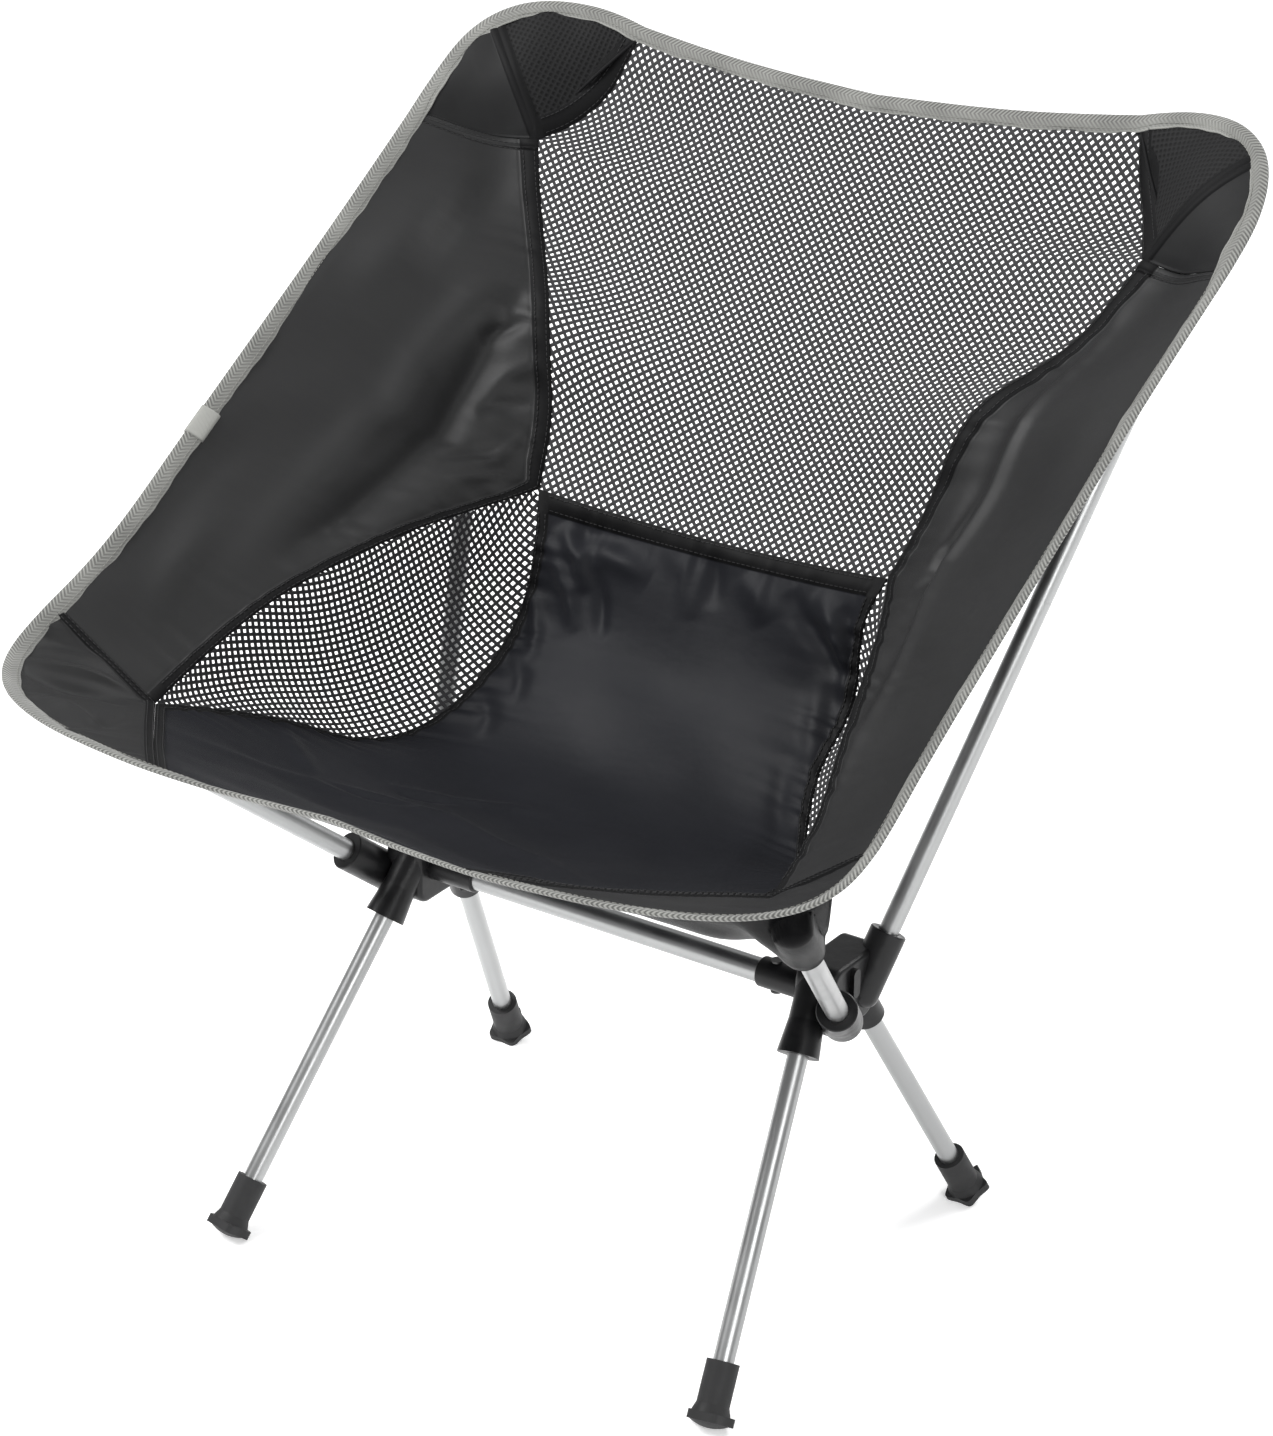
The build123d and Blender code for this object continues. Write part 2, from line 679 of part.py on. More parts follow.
# ---- sling: pockets ----
def pocket(tip, axis, depth):
    """Blind fabric sleeve over the end of a pole."""
    end = on_axis(tip, axis, pocket_clearance + pocket_wall)
    mouth = on_axis(tip, axis, -depth)
    shell = rod(mouth, end, pocket_radius)
    shell = fillet(shell.edges().filter_by(GeomType.CIRCLE).sort_by_distance(end)[0], pocket_radius * nose_round_share)
    return shell - rod(mouth, on_axis(tip, axis, pocket_clearance), pocket_radius - pocket_wall)


# ---- every piece ----
def left_pieces():
    """Pieces of the sitter's left side, by the part of the name that comes before the side."""
    return {
        "hub": hub(),
        "crossbar_rivet": rivet(),
        "front_leg_tube": leg_tube(front_leg_top, front_foot, front_leg_axis),
        "rear_leg_tube": leg_tube(rear_leg_top, rear_foot, rear_leg_axis),
        "front_foot_boot": foot_boot(front_foot, front_leg_axis),
        "rear_foot_boot": foot_boot(rear_foot, rear_leg_axis),
        "front_cord_stop": cord_stop(front_foot, front_leg_axis),
        "rear_cord_stop": cord_stop(rear_foot, rear_leg_axis),
        "front_leg_cord": leg_cord(front_leg_top, front_foot, front_leg_axis),
        "rear_leg_cord": leg_cord(rear_leg_top, rear_foot, rear_leg_axis),
        "seat_pole": seat_pole(),
        "seat_pole_cap": tip_cap(seat_pole_tip, seat_pole_axis, seat_pole_radius),
        "seat_pole_cord": pole_cord(seat_pole_base, seat_pole_tip, seat_pole_axis),
        "back_pole_lower": back_pole_lower(),
        "back_pole_upper": back_pole_upper(),
        "back_pole_ferrule": back_pole_ferrule(),
        "back_pole_cap": tip_cap(back_pole_tip, back_pole_axis, back_pole_radius),
        "back_pole_cord": pole_cord(back_pole_base, back_pole_tip, back_pole_axis),
        "side_panel": side_panel(),
        "side_mesh": side_mesh_leaf(),
        "front_corner_patch": front_corner_patch(),
        "top_corner_patch": top_corner_patch(),
        "front_pocket": pocket(seat_pole_tip, seat_pole_axis, front_pocket_depth),
        "top_pocket": pocket(back_pole_tip, back_pole_axis, top_pocket_depth),
        "side_binding": side_binding(),
    }


def middle_pieces():
    """Pieces that cross the chair's middle."""
    return {
        "crossbar": crossbar(),
        "seat_panel": seat_panel(),
        "back_mesh_panel": back_mesh_panel(),
        "front_binding": front_binding(),
        "top_binding": top_binding(),
        "binding_tab": binding_tab(),
    }


os.makedirs("parts", exist_ok=True)
for name, piece in left_pieces().items():
    export_step(piece, f"parts/{name}_left.step")
    export_step(mirrored(piece), f"parts/{name}_right.step")
for name, piece in middle_pieces().items():
    export_step(piece, f"parts/{name}.step")
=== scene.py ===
import bmesh
import bpy
import numpy as np
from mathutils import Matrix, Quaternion, Vector


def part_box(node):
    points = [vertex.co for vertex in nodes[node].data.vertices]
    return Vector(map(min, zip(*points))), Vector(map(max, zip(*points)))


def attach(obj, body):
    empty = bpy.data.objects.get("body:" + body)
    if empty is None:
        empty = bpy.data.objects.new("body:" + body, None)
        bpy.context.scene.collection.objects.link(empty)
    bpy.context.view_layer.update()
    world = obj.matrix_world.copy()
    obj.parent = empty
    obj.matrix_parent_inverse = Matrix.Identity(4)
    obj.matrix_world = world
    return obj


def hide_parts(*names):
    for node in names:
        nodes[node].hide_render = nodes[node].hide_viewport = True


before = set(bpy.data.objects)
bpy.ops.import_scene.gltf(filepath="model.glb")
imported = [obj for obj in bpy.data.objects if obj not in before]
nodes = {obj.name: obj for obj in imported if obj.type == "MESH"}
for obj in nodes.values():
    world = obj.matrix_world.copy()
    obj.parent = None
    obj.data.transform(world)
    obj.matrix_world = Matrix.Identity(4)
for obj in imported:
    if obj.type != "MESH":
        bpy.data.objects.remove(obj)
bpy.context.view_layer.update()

# Ultralight backpacking chair.  Metres; +X is the sitter's left, the chair faces -Y, +Z is up.
MM = 0.001
TAU = 2 * np.pi
SIDES = (("left", 1.0), ("right", -1.0))

# ---------------------------------------------------------------- camera, light and floor
IMAGE_WIDTH = 1273
FOCAL_PIXELS = 3742.3
CAMERA_PLACE = np.array([1.0849, -1.5868, 1.2301])
CAMERA_AZIMUTH, CAMERA_ELEVATION, CAMERA_ROLL = np.radians([34.03, 25.23, 0.14])
SENSOR_WIDTH = 36.0
SKY_SHADES = ((0.0, 0.9), (0.47, 0.7), (0.53, 0.34), (0.68, 0.5), (1.0, 0.95))  # share of the way up, shade
SKY_STRENGTH = 0.85
LAMPS = (  # name, place, point aimed at, width, watts
    ("key_lamp", (-1.6, -1.2, 2.6), (0, 0, 0.35), 1.3, 85),
    ("fill_lamp", (2.2, -1.6, 1.4), (0, 0, 0.35), 1.2, 32),
    ("rim_lamp", (0.8, 2.2, 2.0), (0, 0, 0.45), 1.2, 40),
)
FLOOR_HALF, FLOOR_GLOW = 40.0, 0.35


def aim(obj, place, target):
    """Puts an object at a place, its -Z axis towards a target."""
    obj.location = place
    obj.rotation_mode = "QUATERNION"
    obj.rotation_quaternion = (Vector(target) - Vector(place)).to_track_quat("-Z", "Y")


def make_camera():
    """Camera that looks down on the chair's front left quarter."""
    data = bpy.data.cameras.new("camera")
    data.sensor_fit, data.sensor_width = "HORIZONTAL", SENSOR_WIDTH
    data.lens = FOCAL_PIXELS / IMAGE_WIDTH * data.sensor_width
    camera = bpy.data.objects.new("camera", data)
    bpy.context.scene.collection.objects.link(camera)
    a, e = CAMERA_AZIMUTH, CAMERA_ELEVATION
    back = np.array([np.sin(a) * np.cos(e), -np.cos(a) * np.cos(e), np.sin(e)])
    aim(camera, CAMERA_PLACE, CAMERA_PLACE - back)
    camera.rotation_quaternion = camera.rotation_quaternion @ Quaternion((0, 0, 1), CAMERA_ROLL)
    bpy.context.scene.camera = camera


def area_light(name, place, target, size, power):
    """Soft square lamp aimed at a point."""
    data = bpy.data.lights.new(name, "AREA")
    data.shape, data.size, data.energy = "SQUARE", size, power
    lamp = bpy.data.objects.new(name, data)
    bpy.context.scene.collection.objects.link(lamp)
    aim(lamp, place, target)


def studio():
    """White floor, pale sky with a darker band at the horizon, and soft lamps."""
    make_camera()
    bpy.context.scene.view_settings.view_transform = "Standard"
    world = bpy.data.worlds.new("studio")
    bpy.context.scene.world = world
    world.use_nodes = True
    tree = world.node_tree
    coord = tree.nodes.new("ShaderNodeTexCoord")
    split = tree.nodes.new("ShaderNodeSeparateXYZ")
    ramp = tree.nodes.new("ShaderNodeValToRGB")
    for height, shade in SKY_SHADES:
        stop = ramp.color_ramp.elements.new(height)
        stop.color = (shade, shade, shade * 1.01, 1)
    ramp.color_ramp.elements.remove(ramp.color_ramp.elements[-1])
    remap = tree.nodes.new("ShaderNodeMapRange")
    remap.inputs["From Min"].default_value = -1
    tree.links.new(coord.outputs["Generated"], split.inputs[0])
    tree.links.new(split.outputs["Z"], remap.inputs["Value"])
    tree.links.new(remap.outputs[0], ramp.inputs[0])
    tree.links.new(ramp.outputs[0], tree.nodes["Background"].inputs["Color"])
    tree.nodes["Background"].inputs["Strength"].default_value = SKY_STRENGTH
    for lamp in LAMPS:
        area_light(*lamp)
    mesh = bpy.data.meshes.new("floor")
    corners = [(x * FLOOR_HALF, y * FLOOR_HALF, 0) for x, y in ((-1, -1), (1, -1), (1, 1), (-1, 1))]
    mesh.from_pydata(corners, [], [(0, 1, 2, 3)])
    floor = bpy.data.objects.new("floor", mesh)
    bpy.context.scene.collection.objects.link(floor)
    paper = finish("floor_paper", (0.93, 0.93, 0.93), 0.9)
    shader = paper.node_tree.nodes["Principled BSDF"]
    shader.inputs["Emission Color"].default_value = (1, 1, 1, 1)
    shader.inputs["Emission Strength"].default_value = FLOOR_GLOW
    mesh.materials.append(paper)


# ---------------------------------------------------------------- finishes
class Finish:
    """Small builder for one material's node tree."""

    def __init__(self, name, colour, roughness):
        self.material = bpy.data.materials.new(name)
        self.material.use_nodes = True
        self.tree = self.material.node_tree
        self.shader = self.tree.nodes["Principled BSDF"]
        self.shader.inputs["Base Color"].default_value = (*colour, 1)
        self.shader.inputs["Roughness"].default_value = roughness

    def node(self, kind, **sockets):
        made = self.tree.nodes.new("ShaderNode" + kind)
        for key, value in sockets.items():
            made.inputs[key.replace("_", " ")].default_value = value
        return made

    def link(self, source, target):
        self.tree.links.new(source, target)

    def place(self, which):
        return self.node("TexCoord").outputs[which]

    def cloth_place(self):
        """The piece's own UV (metres), and its two parts."""
        split = self.node("SeparateXYZ")
        where = self.place("UV")
        self.link(where, split.inputs[0])
        return where, split.outputs[0], split.outputs[1]

    def spread(self, value, *limits):
        """Value from one range spread over another: from low and high, to low and high."""
        names = ("From_Min", "From_Max", "To_Min", "To_Max")
        remap = self.node("MapRange", **dict(zip(names, limits)))
        self.link(value, remap.inputs["Value"])
        return remap.outputs[0]

    def noise(self, where, scale, detail=3.0, stretch=None):
        """Noise value at a scale per metre, stretched along an axis if asked."""
        if stretch:
            mapping = self.node("Mapping", Scale=stretch)
            self.link(where, mapping.inputs["Vector"])
            where = mapping.outputs[0]
        noise = self.node("TexNoise", Scale=scale, Detail=detail)
        self.link(where, noise.inputs["Vector"])
        return noise.outputs[0]

    def between(self, value, low, high):
        """Value from 0.3..0.7 spread over a range."""
        return self.spread(value, 0.3, 0.7, low, high)

    def mix_colours(self, value, low, high):
        mix = self.node("Mix")
        mix.data_type = "RGBA"
        mix.inputs[6].default_value = (*low, 1)
        mix.inputs[7].default_value = (*high, 1)
        self.link(value, mix.inputs[0])
        return mix.outputs[2]

    def maths(self, kind, first, second=None):
        """One maths step on sockets or numbers."""
        made = self.tree.nodes.new("ShaderNodeMath")
        made.operation = kind
        for i, value in enumerate((first, second)):
            if value is None:
                continue
            if isinstance(value, (int, float)):
                made.inputs[i].default_value = value
            else:
                self.link(value, made.inputs[i])
        return made.outputs[0]

    def bump(self, height, distance, strength=1.0, onto=None):
        bump = self.node("Bump", Strength=strength, Distance=distance)
        self.link(height, bump.inputs["Height"])
        if onto is not None:
            self.link(onto, bump.inputs["Normal"])
        return bump.outputs[0]

    def wear(self, normal=None, colour=None, roughness=None):
        for socket, value in (("Normal", normal), ("Base Color", colour), ("Roughness", roughness)):
            if value is not None:
                self.link(value, self.shader.inputs[socket])
        return self.material


def scaled(colour, share, lift=0.0):
    """Colour made darker or lighter by a share."""
    return tuple(c * share + lift for c in colour)


def finish(name, colour, roughness):
    """Plain base with mottled colour and roughness, for the floor and small trim."""
    made = Finish(name, colour, roughness)
    spots = made.noise(made.place("Object"), 60.0)
    lighter = tuple(min(1, c * 1.06) for c in colour)
    return made.wear(
        colour=made.mix_colours(spots, colour, lighter),
        roughness=made.between(spots, roughness * 0.95, min(1, roughness * 1.05)),
    )


def aluminium(name, colour=(0.72, 0.73, 0.735), roughness=0.34):
    """Satin anodised tube: very fine drawn lines round it and faint cloudy roughness."""
    made = Finish(name, colour, roughness)
    made.shader.inputs["Metallic"].default_value = 1.0
    where = made.place("Object")
    grain = made.noise(where, 900.0, 2.0, (1, 1, 0.05))
    cloud = made.noise(where, 45.0, 4.0)
    return made.wear(
        normal=made.bump(grain, 0.00002, 0.35),
        colour=made.mix_colours(cloud, scaled(colour, 0.94), colour),
        roughness=made.between(cloud, roughness - 0.05, roughness + 0.06),
    )


def moulded(name, colour, roughness, grain_depth=0.00006, shine=0.4):
    """Injection-moulded plastic or rubber: fine spark-eroded grain and slight waviness."""
    made = Finish(name, colour, roughness)
    made.shader.inputs["Specular IOR Level"].default_value = shine
    where = made.place("Object")
    grain = made.noise(where, 1400.0, 2.0)
    wave = made.noise(where, 70.0, 3.0)
    rubbed = made.noise(where, 160.0, 5.0)
    normal = made.bump(wave, 0.0006, 0.35)
    return made.wear(
        normal=made.bump(grain, grain_depth, 0.6, normal),
        colour=made.mix_colours(rubbed, colour, scaled(colour, 1.5, 0.004)),
        roughness=made.between(rubbed, roughness - 0.06, roughness + 0.08),
    )


def woven(name, colour, pitch, roughness, sheen, slub=0.25, depth=0.00005, crease=0.0012, shine=0.3):
    """Plain weave: over-and-under threads along the piece's own UV (metres), slubs and soft creases."""
    made = Finish(name, colour, roughness)
    made.shader.inputs["Sheen Weight"].default_value = sheen
    made.shader.inputs["Sheen Roughness"].default_value = 0.45
    made.shader.inputs["Specular IOR Level"].default_value = shine
    where, *axes = made.cloth_place()
    threads = [made.maths("SINE", made.maths("MULTIPLY", axis, TAU / pitch)) for axis in axes]
    over = made.maths("MULTIPLY", threads[0], threads[1])
    slubs = made.noise(where, 220.0, 3.0, (1, 0.12, 1))
    cloud = made.noise(where, 14.0, 4.0)
    creases = made.noise(where, 38.0, 5.0, (1, 0.55, 1))
    height = made.maths("ADD", made.maths("MULTIPLY", over, 0.5), made.maths("MULTIPLY", slubs, slub))
    normal = made.bump(creases, crease, 0.5)
    shade = made.maths("ADD", made.maths("MULTIPLY", cloud, 0.7), made.maths("MULTIPLY", slubs, 0.3))
    return made.wear(
        normal=made.bump(height, depth, 0.8, normal),
        colour=made.mix_colours(shade, scaled(colour, 0.72), scaled(colour, 1.3)),
        roughness=made.between(cloud, roughness - 0.06, roughness + 0.06),
    )


def lined_net(name, colour, pitch, roughness):
    """Net laid over cloth: round dimples on a square lattice along the UV (metres), cords a little paler."""
    made = Finish(name, colour, roughness)
    made.shader.inputs["Sheen Weight"].default_value = 0.03
    made.shader.inputs["Specular IOR Level"].default_value = 0.2
    where, along, across = made.cloth_place()
    turn = TAU / (2 * pitch * 2**0.5)
    diagonals = [made.maths(kind, along, across) for kind in ("ADD", "SUBTRACT")]
    waves = [made.maths("COSINE", made.maths("MULTIPLY", way, turn)) for way in diagonals]
    squares = [made.maths("MULTIPLY", wave, wave) for wave in waves]
    hole = made.maths("MULTIPLY", *squares)
    cord = made.maths("SUBTRACT", 1.0, hole)
    cloud = made.noise(where, 30.0, 4.0)
    mottled = made.maths("ADD", made.maths("MULTIPLY", cloud, 0.6), 0.6)
    shade = made.maths("MULTIPLY", made.maths("POWER", cord, 3.0), mottled)
    return made.wear(
        normal=made.bump(cord, 0.0005, 0.8),
        colour=made.mix_colours(shade, scaled(colour, 0.3), scaled(colour, 1.25)),
        roughness=made.between(cloud, roughness - 0.06, roughness + 0.06),
    )


def webbing(name, colour, rib, roughness, fold):
    """Edge tape: herringbone ribs along the UV (metres from inner edge to fold), and a painted highlight
    along the inner edge.
    """
    made = Finish(name, colour, roughness)
    made.shader.inputs["Sheen Weight"].default_value = 0.2
    where, along, across = made.cloth_place()
    turn = made.maths("ABSOLUTE", made.maths("SUBTRACT", across, fold * 0.62))
    slant = made.maths("ADD", along, made.maths("MULTIPLY", turn, 0.9))
    ribs = made.maths("SINE", made.maths("MULTIPLY", slant, TAU / rib))
    fibres = made.noise(where, 500.0, 3.0, (1, 0.3, 1))
    cloud = made.noise(where, 26.0, 4.0)
    outer = made.spread(across, fold * 0.35, fold * 0.95, 0.15, 0.6)
    # Painted highlight: the colour is raised in a thin line along the tape's inner edge.
    edge = made.spread(across, 0.0006, 0.0013, 0.9, 0.0)
    fuzz = made.maths("MULTIPLY", fibres, 0.5)
    height = made.maths("ADD", made.maths("MULTIPLY", ribs, outer), fuzz)
    rib_tone_and_edge_highlight = made.maths("ADD", made.maths("MULTIPLY", ribs, made.maths("MULTIPLY", outer, 0.9)), cloud)
    rib_tone_and_edge_highlight = made.maths("ADD", rib_tone_and_edge_highlight, edge)
    return made.wear(
        normal=made.bump(height, 0.0004, 0.8),
        colour=made.mix_colours(rib_tone_and_edge_highlight, scaled(colour, 0.45), scaled(colour, 1.75)),
        roughness=made.between(cloud, roughness - 0.05, roughness + 0.06),
    )


TAPE_WIDTH, TAPE_FOLD = 0.0108, 0.0015
NET_PITCH = 0.0040
LINING_PITCH = 0.0033
SIDE_FABRIC = woven("side_fabric", (0.0120, 0.0121, 0.0125), 0.0006, 0.5, 0.03)
# Painted shade: the top corners' plain end is the side panels' cloth, made darker and less shiny here to
# darken these upward-facing corners.
CORNER_FABRIC_PAINTED_SHADE = woven("corner_fabric_painted_shade", (0.0075, 0.0076, 0.0080), 0.0006, 0.55, 0.02, shine=0.2)
SEAT_FABRIC = woven("seat_fabric", (0.0106, 0.0111, 0.0138), 0.0006, 0.44, 0.02, shine=0.11)
HOOD_FABRIC = woven("hood_fabric", (0.0030, 0.0030, 0.0033), 0.0006, 0.34, 0.0, shine=0.035)
LINING = lined_net("lining_net", (0.0085, 0.0085, 0.0090), LINING_PITCH, 0.7)
SEAM = woven("seam_tape", (0.0034, 0.0034, 0.0038), 0.0007, 0.62, 0.02, crease=0.0006, shine=0.15)
NET = woven("net_yarn", (0.018, 0.018, 0.020), 0.0011, 0.7, 0.3, crease=0.0002)
BINDING = webbing("binding_webbing", (0.158, 0.159, 0.149), 0.0027, 0.72, TAPE_WIDTH)
THREAD = finish("thread", (0.016, 0.016, 0.017), 0.6)
PALE_THREAD = finish("pale_thread", (0.24, 0.24, 0.22), 0.6)
TUBE = aluminium("tube_aluminium", (0.375, 0.38, 0.38))
RIVET = aluminium("rivet_steel", (0.07, 0.07, 0.07), 0.4)
NYLON = moulded("hub_nylon", (0.0036, 0.0036, 0.0040), 0.36, shine=0.3)
RUBBER = moulded("foot_rubber", (0.009, 0.009, 0.0095), 0.62, 0.0001)
CAP = moulded("cap_plastic", (0.010, 0.010, 0.010), 0.5)
CORD = woven("cord_sleeve", (0.012, 0.012, 0.013), 0.0009, 0.7, 0.2)


# ---------------------------------------------------------------- paths and directions
def unit(vectors):
    """Vectors brought to length 1."""
    return vectors / np.linalg.norm(vectors, axis=-1, keepdims=True)


def run_along(path):
    """Length run from the start of a path to each of its points."""
    return np.concatenate([[0], np.cumsum(np.linalg.norm(np.diff(path, axis=0), axis=1))])


def read_at(where, run, values):
    """Vectors given along a run, read in between."""
    return np.stack([np.interp(where, run, values[:, k]) for k in range(3)], -1)


# ---------------------------------------------------------------- the sling's pattern
HALF_WIDTH, FRONT, DEPTH, LOW, RISE = 0.284, -0.272, 0.543, 0.283, 0.363


def place(shares):
    """Pattern shares (out, back, up) to metres."""
    return np.array(shares, float) * (HALF_WIDTH, DEPTH, RISE) + (0, FRONT, LOW)


class Line:
    """Smooth curve through points: a natural cubic spline by chord length, read by share of its length.

    Several lists make one line with a corner where they meet.  The points are pattern shares, or metres.
    """

    def __init__(self, *parts, in_metres=False):
        dense = [self.spline(part if in_metres else place(part)) for part in parts]
        points = np.concatenate([dense[0]] + [part[1:] for part in dense[1:]])
        run = run_along(points)
        self.length, self.run, self.points = run[-1], run / run[-1], points

    @staticmethod
    def spline(points, count=600):
        chord = np.linalg.norm(np.diff(points, axis=0), axis=1)
        knot = np.concatenate([[0], np.cumsum(chord)])
        n = len(points)
        system, right = np.eye(n), np.zeros((n, 3))
        for i in range(1, n - 1):
            system[i, i - 1 : i + 2] = chord[i - 1], 2 * (chord[i - 1] + chord[i]), chord[i]
            slope_after = (points[i + 1] - points[i]) / chord[i]
            slope_before = (points[i] - points[i - 1]) / chord[i - 1]
            right[i] = 6 * (slope_after - slope_before)
        bend = np.linalg.solve(system, right)
        t = np.linspace(0, knot[-1], count)
        i = np.clip(np.searchsorted(knot, t, "right") - 1, 0, n - 2)
        h = chord[i][:, None]
        a, b = (knot[i + 1] - t)[:, None], (t - knot[i])[:, None]
        cubic = (bend[i] * a**3 + bend[i + 1] * b**3) / (6 * h)
        linear = (points[i] / h - bend[i] * h / 6) * a + (points[i + 1] / h - bend[i + 1] * h / 6) * b
        return cubic + linear

    def __call__(self, share):
        share = np.clip(share, 0, 1)
        return read_at(share, self.run, self.points)

    def nearest(self, point):
        """Share of the length at which the line comes nearest a point."""
        return self.run[np.argmin(np.linalg.norm(self.points - point, axis=1))]


hem_points = [
    (0.000, 0.017, 0.240), (0.264, 0.001, 0.243), (0.361, -0.006, 0.249), (0.515, -0.007, 0.257),
    (0.690, 0.012, 0.257), (0.815, 0.044, 0.255), (0.901, 0.087, 0.257), (0.944, 0.139, 0.271),
    (0.951, 0.191, 0.298),
]
rim_points = [
    (0.951, 0.191, 0.298), (0.947, 0.222, 0.318), (0.942, 0.261, 0.347), (0.942, 0.379, 0.450),
    (0.948, 0.556, 0.608), (0.955, 0.700, 0.736), (0.967, 0.832, 0.852),
]
corner_points = [
    (0.967, 0.832, 0.852), (0.967, 0.890, 0.909), (0.952, 0.924, 0.948), (0.921, 0.952, 0.976),
    (0.864, 0.978, 0.996), (0.778, 1.002, 1.000), (0.685, 1.013, 0.991), (0.595, 1.013, 0.975),
]
top_points = [(0.595, 1.013, 0.975), (0.350, 1.006, 0.953), (0.000, 0.998, 0.939)]
back_seam_points = [
    (0.4225, 0.674, 0.339), (0.440, 0.703, 0.394), (0.458, 0.7255, 0.457), (0.479, 0.7385, 0.526),
    (0.510, 0.760, 0.590), (0.574, 0.803, 0.639), (0.641, 0.845, 0.689), (0.687, 0.873, 0.749),
    (0.725, 0.8985, 0.807),
]
lining_inner_points = [
    (0.725, 0.8985, 0.807), (0.694, 0.928, 0.818), (0.6655, 0.956, 0.840), (0.637, 0.976, 0.873),
    (0.614, 0.993, 0.925), (0.595, 1.013, 0.975),
]
side_arc_points = [
    (0.967, 0.832, 0.852), (0.898, 0.849, 0.832), (0.817, 0.880, 0.807), (0.725, 0.8985, 0.807),
]
leaf_upper_points = [
    (0.4225, 0.674, 0.339), (0.465, 0.630, 0.330), (0.539, 0.543, 0.317), (0.602, 0.455, 0.295),
    (0.658, 0.372, 0.262), (0.703, 0.293, 0.210), (0.720, 0.206, 0.160),
]
leaf_lower_points = [
    (0.4225, 0.674, 0.339), (0.401, 0.650, 0.273), (0.408, 0.628, 0.160), (0.412, 0.5635, 0.083),
    (0.454, 0.499, 0.022), (0.528, 0.429, 0.008), (0.606, 0.363, 0.058), (0.672, 0.290, 0.1095),
    (0.720, 0.206, 0.160),
]
front_inner_points = [(0.951, 0.191, 0.298), (0.820, 0.198, 0.222), (0.720, 0.206, 0.160)]
front_seam_points = [(0.720, 0.206, 0.160), (0.545, 0.099, 0.196), (0.361, -0.006, 0.249)]
seat_middle_points = [
    (0.0, 0.681, 0.322), (0.0, 0.655, 0.250), (0.0, 0.600, 0.120), (0.0, 0.520, 0.030),
    (0.0, 0.420, -0.010), (0.0, 0.300, 0.022), (0.0, 0.170, 0.095), (0.0, 0.017, 0.240),
]
back_middle_points = [(0.0, 0.681, 0.322), (0.0, 0.836, 0.627), (0.0, 0.998, 0.939)]

front_inner = Line(front_inner_points)
hem, rim, corner, top = Line(hem_points), Line(rim_points), Line(corner_points), Line(top_points)
lining_inner, side_arc = Line(lining_inner_points), Line(side_arc_points)
leaf_upper, leaf_lower = Line(leaf_upper_points), Line(leaf_lower_points)
front_patch_edge = Line(front_inner_points, front_seam_points)
top_patch_edge = Line(side_arc_points, lining_inner_points)
side_inner = Line(leaf_upper_points[::-1], back_seam_points)
back_side = Line(back_seam_points, lining_inner_points)
back_middle, seat_middle = Line(back_middle_points), Line(seat_middle_points)
seat_side = Line(leaf_lower_points, front_seam_points)
HEM_START = hem.nearest(place(front_seam_points[-1]))
CROWN = np.array([-0.23, -0.67, 0.70]) / np.linalg.norm([-0.23, -0.67, 0.70])
CROWN_RISE = 0.009


def blend(start, end, share):
    return start + (end - start) * share[..., None]


def front_corner_surface(s, t):
    """Lines from the patch's inner seams (t = 0) to the hem and rim (t = 1)."""
    return blend(front_patch_edge(s), hem(1 - s * (1 - HEM_START)), t)


def top_corner_surface(s, t):
    """Lines from the lining's lower arcs (t = 0) to the rim, crowned where the pole pushes."""
    crown = CROWN_RISE * np.sin(np.pi * s) * np.sin(np.pi * t)
    return blend(top_patch_edge(s), corner(s), t) + crown[..., None] * CROWN


def side_surface(s, t):
    """Lines from the inner seams (t = 0) to the rim, bent to meet the corners' seams at both ends."""
    first, last = np.zeros_like(t), np.ones_like(t)
    bends = [seam(1 - t) - blend(seam(last), seam(first), t) for seam in (side_arc, front_inner)]
    top_bend, front_bend = bends
    return blend(side_inner(s), rim(s), t) + top_bend * s[..., None] + front_bend * (1 - s[..., None]) ** 3


LEAF_SAG = 0.011 * np.array([0.77, 0.0, -0.64])


def leaf_surface(s, t):
    """Lines between the mesh leaf's lower seam (t = 0) and its upper seam, sagging outwards in between."""
    inner = np.clip(t, 0, 1)
    sag = np.sin(np.pi * inner**0.85) * np.sin(np.pi * s) ** 0.7
    return blend(leaf_lower(s), leaf_upper(s), t) + sag[..., None] * LEAF_SAG


def hammock(middle, side):
    """Surface from side to side (t = -1 to 1): a parabola through the middle line."""

    def surface(s, t):
        centre, edge = middle(s), side(s)
        curved = centre + (edge - centre) * (t**2)[..., None]
        return np.concatenate([(edge[..., 0] * t)[..., None], curved[..., 1:]], -1)

    return surface


seat_surface = hammock(seat_middle, seat_side)
back_surface = hammock(back_middle, back_side)


# ---------------------------------------------------------------- meshes
def put_mesh(name, points, faces, finish_of, uv=None, body="frame", mirror=1.0):
    """Mesh object from arrays; mirror -1 makes it on the sitter's right, with its faces turned back."""
    points = np.array(points, float).reshape(-1, 3)
    faces = np.array(faces)
    if mirror < 0:
        points = points * (-1, 1, 1)
        faces = faces[:, ::-1]
    mesh = bpy.data.meshes.new(name)
    mesh.from_pydata(points, [], faces)
    if uv is not None:
        layer = mesh.uv_layers.new(name="cloth")
        layer.data.foreach_set("uv", np.array(uv, float).reshape(-1, 2)[faces.ravel()].ravel())
    mesh.shade_smooth()
    mesh.materials.append(finish_of)
    piece = bpy.data.objects.new(name, mesh)
    bpy.context.scene.collection.objects.link(piece)
    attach(piece, body)
    return piece


def grid_faces(rows, columns, closed=False):
    """Quads of a grid of rows by columns of vertices; closed joins the last column to the first."""
    i, j = np.meshgrid(np.arange(rows - 1), np.arange(columns if closed else columns - 1), indexing="ij")
    after = (j + 1) % columns
    row, below = i * columns, (i + 1) * columns
    quads = np.stack([row + j, below + j, below + after, row + after], -1)
    return quads.reshape(-1, 4)


